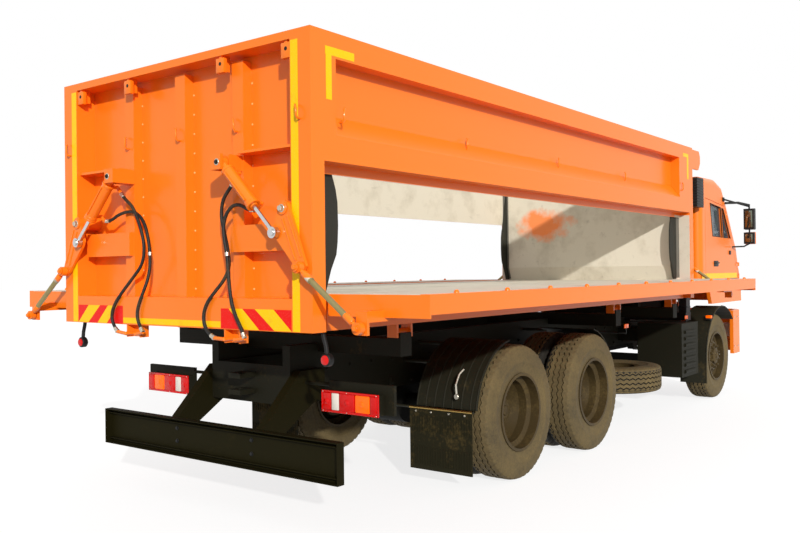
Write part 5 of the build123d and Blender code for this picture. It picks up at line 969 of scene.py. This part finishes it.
def make_flap_rods():
    """Rods, tabs and moulded ribs of the mudflaps."""
    rods = Piece("flap_rods")
    for s in SIDES.values():
        rods.tube([(-2.510, s * 0.596, 0.594), (-2.510, s * 1.164, 0.594)], 0.0098, "brass", 16)
        for y in (0.66, 0.80, 0.96, 1.10):
            rods.side_box(s, (-2.5175, y - 0.022, 0.552), (-2.5025, y + 0.022, 0.592), "flap", 0.002)
            rods.nut((-2.5172, s * y, 0.568), (-1, 0, 0), 0.006, 0.005, "steel")
        for k in range(23):
            y = 0.628 + 0.0235 * k
            rods.side_box(s, (-2.5195, y, 0.415), (-2.5145, y + 0.008, 0.540), "flap", 0.002)
            rods.side_box(s, (-2.5195, y, 0.165), (-2.5145, y + 0.008, 0.305), "flap", 0.002)
    rods.done("chassis", "mudflap_rubber")


def make_guard_ledges():
    """Ledges and bolts on the underrun guard."""
    rear_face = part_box("underrun_guard")[0].x
    ledge = Piece("guard_ledges")
    for z in (0.398, 0.586):
        ledge.box((rear_face + 0.020, -1.162, z), (rear_face + 0.056, 1.162, z + 0.006), "bar", 0.002)
    for y in (-0.38, 0.38):
        for z in (0.455, 0.545):
            ledge.nut((rear_face + 0.0535, y, z), (-1, 0, 0), 0.012, 0.010, "trim")
    ledge.done("chassis", "chassis_paint")


def make_bumper_bolts():
    """Bolts of the front bumper and the slats of its two grilles."""
    bumper = Piece("bumper_bolts")
    for s in SIDES.values():
        for y, z in ((0.55, 0.56), (0.55, 1.02), (0.70, 0.56), (0.70, 1.02)):
            x = 4.360 - (0.0 if y < 0.35 else 0.025 * (y - 0.35) / 0.52)
            bumper.nut((x - 0.001, s * y, z), (1, 0, 0), 0.011, 0.008, "steel")
        for x, z in ((3.80, 0.60), (3.80, 0.98), (3.95, 0.60), (3.95, 0.98)):
            bumper.nut((x, s * 1.1995, z), (0, s, 0), 0.011, 0.008, "steel")
    for z0 in (0.590, 0.930):
        for k in range(3):
            z = z0 + 0.012 + 0.020 * k
            bumper.box((4.322, -0.428, z), (4.336, 0.428, z + 0.006), "black", 0.001)
        for k in range(17):
            y = -0.40 + 0.05 * k
            bumper.box((4.318, y - 0.002, z0 + 0.002), (4.330, y + 0.002, z0 + 0.068), "black", 0)
    bumper.done("chassis", "black_plastic")


def front_line(z):
    """X of the cab's front face at a height; it leans back 45 mm in 453 mm."""
    return BED_REAR + 8.350 + (1.640 - z) * 45 / 453


def make_door_trim():
    """Window rubbers, handles and tape of the doors."""
    windows = ([(7.209, 2.022), (7.120, 2.425), (7.535, 2.390), (7.603, 2.016)],
               [(7.645, 2.013), (7.577, 2.386), (7.641, 2.381), (7.935, 2.010)])
    for side, s in SIDES.items():
        door = Piece(f"door_trim_{side}")
        for outline in windows:
            door.tube([bed(d, s * 1.199, z) for d, z in outline], 0.0065, "trim", 10, closed=True)
        x, z = BED_REAR + 7.330, 1.682
        door.side_box(s, (x - 0.085, DOOR_FACE, z - 0.036), (x + 0.085, 1.206, z + 0.036), "black", 0.003)
        grip = [(-0.068, 1.204), (-0.058, 1.222), (0.058, 1.222), (0.068, 1.204)]
        door.tube([(x + d, s * y, z + 0.008) for d, y in grip], 0.008, "black", 10)
        door.disc((x + 0.11, s * DOOR_FACE, z), (0, s, 0), 0.014, 0.004, "steel")
        door.side_box(s, bed(7.870, DOOR_FACE, 1.800), bed(7.935, 1.212, 1.850), "black", 0.004)
        door.side_box(s, bed(6.950, DOOR_FACE, 1.498), bed(8.205, 1.2013, 1.562), "yellow", 0)
        door.done(f"door_{side}", "black_plastic")


def make_cab_trim():
    """Mirror glasses and arms, rear window rubbers, grille, screen rubber and wipers."""
    cab = Piece("cab_trim")
    for s in SIDES.values():
        cab.side_box(s, bed(6.790, DOOR_FACE, 1.498), bed(6.928, 1.2013, 1.562), "yellow", 0)
        cab.side_box(s, bed(8.168, 1.325, 2.155), bed(8.1705, 1.415, 2.375), "mirror", 0.001)
        cab.side_box(s, bed(8.168, 1.325, 1.963), bed(8.1705, 1.415, 2.067), "mirror", 0.001)
        cab.side_box(s, bed(8.224, 1.300, 2.125), bed(8.246, 1.440, 2.405), "black", 0.010)
        cab.tube([bed(7.700, s * 1.214, 2.455), bed(7.950, s * 1.300, 2.470),
                  bed(8.190, s * 1.372, 2.448)], 0.015, "black", 12)
        cab.tube([bed(7.980, s * 1.214, 1.900), bed(8.120, s * 1.320, 1.905),
                  bed(8.200, s * 1.372, 1.945)], 0.010, "black", 12)
        cab.side_box(s, bed(8.224, 1.300, 1.935), bed(8.246, 1.440, 2.095), "orange", 0.010)
        x = front_line(1.32)
        cab.side_box(s, (x - 0.004, 0.960, 1.290), (x + 0.010, 1.080, 1.350), "amber_lens", 0.006)
        for y in (0.30, 0.82):
            cab.tube([bed(6.758, s * y, 2.03), bed(6.758, s * y, 2.40)], 0.010, "trim", 8)
        cab.tube([bed(6.758, s * 0.33, 2.05), bed(6.758, s * 0.83, 2.05),
                  bed(6.758, s * 0.83, 2.38), bed(6.758, s * 0.33, 2.38)], 0.013, "trim", 10, closed=True)
    for k in range(6):
        z = 1.235 + 0.062 * k
        low, high = front_line(z), front_line(z + 0.034)
        slat = [(low - 0.004, z), (low + 0.010, z + 0.004),
                (high + 0.010, z + 0.030), (high - 0.004, z + 0.034)]
        cab.prism(slat, "y", -0.82, 0.82, "black", 0.003)
    top, base = Vector((7.800, 2.490)), Vector((8.240, 1.911))      # of the windscreen: (inside, height)
    run = (base - top).normalized()
    out = Vector((-run.y, run.x))
    upper, lower = top + run * 0.060, base - run * 0.060
    rubber = [bed(upper.x, -1.010, upper.y), bed(upper.x, 1.010, upper.y),
              bed(lower.x, 1.010, lower.y), bed(lower.x, -1.010, lower.y)]
    cab.tube(rubber, 0.016, "trim", 12, closed=True)

    def over_screen(up_from_base, y, lift):
        place = base - run * up_from_base + out * lift
        return bed(place.x, y, place.y)

    for y in (-0.78, 0.02):
        cab.tube([over_screen(0.030, y, 0.030), over_screen(0.46, y + 0.50, 0.012)], 0.006, "black", 8)
        cab.tube([over_screen(0.14, y + 0.16, 0.008), over_screen(0.62, y + 0.72, 0.008)], 0.006, "trim", 8)
    cab.done("cab", "black_plastic")


def make_intake_ribs():
    """Louvres of the air intake's head and ribs of its stack."""
    intake = Piece("intake_ribs")
    low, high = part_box("air_intake")
    for k in range(10):
        z = 2.372 + 0.0325 * k
        intake.box((low.x - 0.003, -1.253, z), (low.x + 0.233, -0.967, z + 0.014), "black", 0.003)
    for k in range(12):
        z = 1.16 + 0.1 * k
        intake.box((low.x + 0.046, -1.094, z), (high.x - 0.046, -0.996, z + 0.02), "black", 0.003)
    intake.done("chassis", "black_plastic")


def make_seats():
    """Two seats' cushions with piping, over the seat blocks."""
    for side, s in SIDES.items():
        seat = Piece(f"seat_cushion_{side}")
        seat.side_box(s, bed(7.34, 0.310, 1.755), bed(7.82, 0.830, 1.815), "cloth", 0.028)
        for y in (0.40, 0.57, 0.74):
            seat.tube([bed(7.37, s * y, 1.8145), bed(7.79, s * y, 1.8145)], 0.004, "trim", 8)
        item = seat.done("cab", "cab_lining")
        rest = Piece(f"headrest_{side}")
        rest.side_box(s, bed(7.25, 0.44, 2.395), bed(7.34, 0.70, 2.54), "cloth", 0.035)
        item = rest.done("cab", "cab_lining")


def dress_frame():
    """Materials and softened edges of every carried-over CAD node."""
    dress(["chassis_frame", "subframe", "knuckle_left", "knuckle_right"], "frame", 0.003)
    dress(["axles", "engine"], "frame_dark", 0.004)
    dress(["underrun_guard"], "bar", 0.003)
    dress(["leaf_springs"], "iron")
    dress(["fuel_tank"], "tank", 0.004)
    dress(["side_boxes"], "frame", 0.005)
    dress(["spare_wheel"], "tyre")
    dress(["rear_mudguards", "front_mudguards"], "guard", 0.002)
    dress(["rear_mudflaps"], "flap", 0.002)
    dress(["tail_lamps"], "frame", 0.003)
    dress(["headlamps"], "white_lens", 0.003)
    dress(["front_bumper"], "orange", 0.012)
    dress(["air_intake"], "black", 0.012)
    dress(["mirrors"], "black", 0.008)
    dress(["cab_shell"], "orange", 0.006)
    dress(["cab_glass", "door_glass_left", "door_glass_right"], "glass")
    dress(["cab_interior"], "lining", 0.02)
    dress(["bed_floor", "bed_rear_wall", "bed_front_wall", "bed_side_panels"], "orange", 0.005)
    dress(["hoist_barrel"], "orange", 0.003)
    dress(["hoist_stage", "hoist_rod"], "chrome")
    for side in SIDES:
        dress([f"door_{side}"], "orange", 0.005)
        dress([f"side_board_{side}"], "orange", 0.005)
        dress([f"rim_front_{side}", f"rims_mid_{side}", f"rims_rear_{side}"], "rim", 0.003)
        dress([f"cylinder_{side}"], "orange", 0.002)
        dress([f"piston_rod_{side}"], "chrome")
        for end in ("rear", "front"):
            dress([f"lever_{end}_{side}"], "orange", 0.003)
            dress([f"link_{end}_{side}"], "orange", 0.002)


# ------------------------------------------------------------------ the studio
SUN_FROM = (-1.0, -1.17, 0.56)
CAMERA_PLACE = (-7.732, -4.518, 1.629)
CAMERA_TURN = (37.46, 0.33, 0.65)   # yaw, pitch and roll in degrees
CAMERA_LENS = 38.27


def lay_floor(width):
    """Floor that is near white to the camera and in reflections, and a grey ground for the bounced light."""
    f = Finish("studio_floor", Roughness=0.9)
    path = f.node("ShaderNodeLightPath")
    camera_sees = Varying(f.tree, path.outputs["Is Camera Ray"])
    seen = Varying(f.tree, path.outputs["Is Glossy Ray"])
    seen = seen + Varying(f.tree, path.outputs["Is Transmission Ray"])
    grain = f.noise(1.5, 3)
    white = f.mix(grain * 0.05, (0.94, 0.94, 0.94, 1), (0.90, 0.90, 0.90, 1))
    f.set(Base_Color=f.mix(camera_sees, (0.26, 0.25, 0.24, 1), white))
    glow = f.node("ShaderNodeEmission", Color=(1, 1, 1, 1), Strength=1.12)
    mixed = f.node("ShaderNodeMixShader", Fac=(seen + camera_sees * 0.7).clamped())
    f.tree.links.new(f.shader.outputs[0], mixed.inputs[1])
    f.tree.links.new(glow.outputs[0], mixed.inputs[2])
    f.tree.links.new(mixed.outputs[0], f.tree.nodes["Material Output"].inputs[0])
    bm = bmesh.new()
    bmesh.ops.create_grid(bm, x_segments=1, y_segments=1, size=width / 2)
    mesh = bpy.data.meshes.new("floor")
    bm.to_mesh(mesh)
    bm.free()
    mesh.materials.append(f.material)
    floor = bpy.data.objects.new("floor", mesh)
    bpy.context.scene.collection.objects.link(floor)


def hang_sky(strength):
    """Soft light all round, which is plain white where it is seen."""
    world = bpy.data.worlds.new("studio_sky")
    bpy.context.scene.world = world
    world.use_nodes = True
    tree = world.node_tree
    tree.nodes.clear()
    path = tree.nodes.new("ShaderNodeLightPath")
    seen = Varying(tree, path.outputs["Is Camera Ray"]) + Varying(tree, path.outputs["Is Glossy Ray"])
    seen = (seen + Varying(tree, path.outputs["Is Transmission Ray"])).clamped()
    sky = tree.nodes.new("ShaderNodeBackground")
    sky.inputs[0].default_value = (1, 1, 1, 1)
    plug(tree, sky.inputs[1], seen * (1 - strength) + strength)
    output = tree.nodes.new("ShaderNodeOutputWorld")
    tree.links.new(sky.outputs[0], output.inputs[0])


def hang_sun(strength):
    """Low sun from behind the truck's right."""
    light = bpy.data.lights.new("sun", "SUN")
    light.energy = strength
    light.angle = radians(1.5)
    light.color = (1.0, 0.975, 0.94)
    lamp = bpy.data.objects.new("sun", light)
    bpy.context.scene.collection.objects.link(lamp)
    lamp.rotation_euler = Vector(SUN_FROM).to_track_quat("Z", "Y").to_euler()


def place_camera():
    view = bpy.data.cameras.new("camera")
    view.sensor_width = 36
    view.lens = CAMERA_LENS
    view.clip_end = 400
    camera = bpy.data.objects.new("camera", view)
    bpy.context.scene.collection.objects.link(camera)
    yaw, pitch, roll = [radians(angle) for angle in CAMERA_TURN]
    ahead = Vector((cos(yaw) * cos(pitch), sin(yaw) * cos(pitch), sin(pitch)))
    right = Vector((sin(yaw), -cos(yaw), 0))
    down = ahead.cross(right)
    level_right = right * cos(roll) + down * sin(roll)
    level_down = down * cos(roll) - right * sin(roll)
    turn = Matrix((level_right, -level_down, -ahead)).transposed().to_4x4()
    camera.matrix_world = Matrix.Translation(CAMERA_PLACE) @ turn
    bpy.context.scene.camera = camera


# ------------------------------------------------------------------ add-on classes
class DumpTruckLook(bpy.types.PropertyGroup):
    paint: FloatVectorProperty(name="Body colour", description="Paint of the bed and cab", subtype="COLOR",
                               size=3, min=0, max=1, default=(0.94, 0.20, 0.008))
    lining: FloatVectorProperty(name="Lining colour", description="Worn inside of the bed", subtype="COLOR",
                                size=3, min=0, max=1, default=(0.66, 0.61, 0.50))
    tread_steps: IntProperty(name="Tread steps", description="Steps around each tyre", default=200,
                             min=48, max=320)


class DumpTruckStudio(bpy.types.PropertyGroup):
    sun: FloatProperty(name="Sun", description="Strength of the main light", default=3.3, min=0)
    sky: FloatProperty(name="Sky", description="Strength of the soft light all round", default=0.62, min=0)
    floor_size: FloatProperty(name="Floor", description="Width of the floor", default=160.0, unit="LENGTH")


class DUMPTRUCK_OT_finishes(bpy.types.Operator):
    """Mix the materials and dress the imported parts"""
    bl_idname = "dumptruck.finishes"
    bl_label = "Finishes"

    def execute(self, context):
        mix_finishes(context.scene.dump_truck_look)
        dress_frame()
        return {"FINISHED"}


class DUMPTRUCK_OT_hoses(bpy.types.Operator):
    """Hang the hydraulic hoses"""
    bl_idname = "dumptruck.hoses"
    bl_label = "Hydraulic Hoses"

    def execute(self, context):
        make_hoses()
        return {"FINISHED"}


class DUMPTRUCK_OT_linkage(bpy.types.Operator):
    """Fit the linkages' pins, sleeves and rings"""
    bl_idname = "dumptruck.linkage"
    bl_label = "Board Linkages"

    def execute(self, context):
        make_linkage()
        return {"FINISHED"}


class DUMPTRUCK_OT_bed(bpy.types.Operator):
    """Fit hooks, welds, liner edges, tape, lamps and lugs to the bed and its boards"""
    bl_idname = "dumptruck.bed"
    bl_label = "Bed Trim"

    def execute(self, context):
        make_rope_hooks()
        make_weld_dots()
        make_liner_edges()
        make_tape()
        make_marker_lamps()
        make_board_trim()
        return {"FINISHED"}


class DUMPTRUCK_OT_wheels(bpy.types.Operator):
    """Fit treaded tyres and wheel nuts"""
    bl_idname = "dumptruck.wheels"
    bl_label = "Wheels"

    def execute(self, context):
        make_tyres(context.scene.dump_truck_look.tread_steps)
        make_hubs()
        return {"FINISHED"}


class DUMPTRUCK_OT_springs(bpy.types.Operator):
    """Stack the springs' leaves"""
    bl_idname = "dumptruck.springs"
    bl_label = "Leaf Springs"

    def execute(self, context):
        make_springs()
        return {"FINISHED"}


class DUMPTRUCK_OT_chassis(bpy.types.Operator):
    """Fit lamps, bolts, straps, guard ribs and flap rods to the chassis"""
    bl_idname = "dumptruck.chassis"
    bl_label = "Chassis Trim"

    def execute(self, context):
        make_lamps()
        make_rail_bolts()
        make_tank_straps()
        make_guard_ribs()
        make_flap_rods()
        make_guard_ledges()
        make_bumper_bolts()
        return {"FINISHED"}


class DUMPTRUCK_OT_cab(bpy.types.Operator):
    """Fit rubbers, handles, grille, wipers, mirrors and seats to the cab"""
    bl_idname = "dumptruck.cab"
    bl_label = "Cab Trim"

    def execute(self, context):
        make_door_trim()
        make_cab_trim()
        make_intake_ribs()
        make_seats()
        return {"FINISHED"}


class DUMPTRUCK_OT_stage(bpy.types.Operator):
    """Lay the floor and set up the lights and camera"""
    bl_idname = "dumptruck.stage"
    bl_label = "Studio"

    def execute(self, context):
        studio = context.scene.dump_truck_studio
        lay_floor(studio.floor_size)
        hang_sky(studio.sky)
        hang_sun(studio.sun)
        place_camera()
        context.scene.view_settings.view_transform = "Standard"
        return {"FINISHED"}


STEPS = (DUMPTRUCK_OT_finishes, DUMPTRUCK_OT_hoses, DUMPTRUCK_OT_linkage, DUMPTRUCK_OT_bed,
         DUMPTRUCK_OT_wheels, DUMPTRUCK_OT_springs, DUMPTRUCK_OT_chassis, DUMPTRUCK_OT_cab,
         DUMPTRUCK_OT_stage)


class DUMPTRUCK_PT_panel(bpy.types.Panel):
    """The dump truck's settings and steps"""
    bl_idname = "DUMPTRUCK_PT_panel"
    bl_label = "Dump Truck"
    bl_space_type = "VIEW_3D"
    bl_region_type = "UI"
    bl_category = "Dump Truck"

    def draw(self, context):
        for group in (context.scene.dump_truck_look, context.scene.dump_truck_studio):
            for name in group.__annotations__:
                self.layout.prop(group, name)
        for step in STEPS:
            self.layout.operator(step.bl_idname)


CLASSES = (DumpTruckLook, DumpTruckStudio, *STEPS, DUMPTRUCK_PT_panel)


def register():
    for cls in CLASSES:
        bpy.utils.register_class(cls)
    bpy.types.Scene.dump_truck_look = PointerProperty(type=DumpTruckLook)
    bpy.types.Scene.dump_truck_studio = PointerProperty(type=DumpTruckStudio)


def unregister():
    del bpy.types.Scene.dump_truck_look
    del bpy.types.Scene.dump_truck_studio
    for cls in reversed(CLASSES):
        bpy.utils.unregister_class(cls)


def main():
    register()
    bpy.ops.dumptruck.finishes()
    bpy.ops.dumptruck.hoses()
    bpy.ops.dumptruck.linkage()
    bpy.ops.dumptruck.bed()
    bpy.ops.dumptruck.wheels()
    bpy.ops.dumptruck.springs()
    bpy.ops.dumptruck.chassis()
    bpy.ops.dumptruck.cab()
    bpy.ops.dumptruck.stage()


if __name__ == "__main__":
    main()
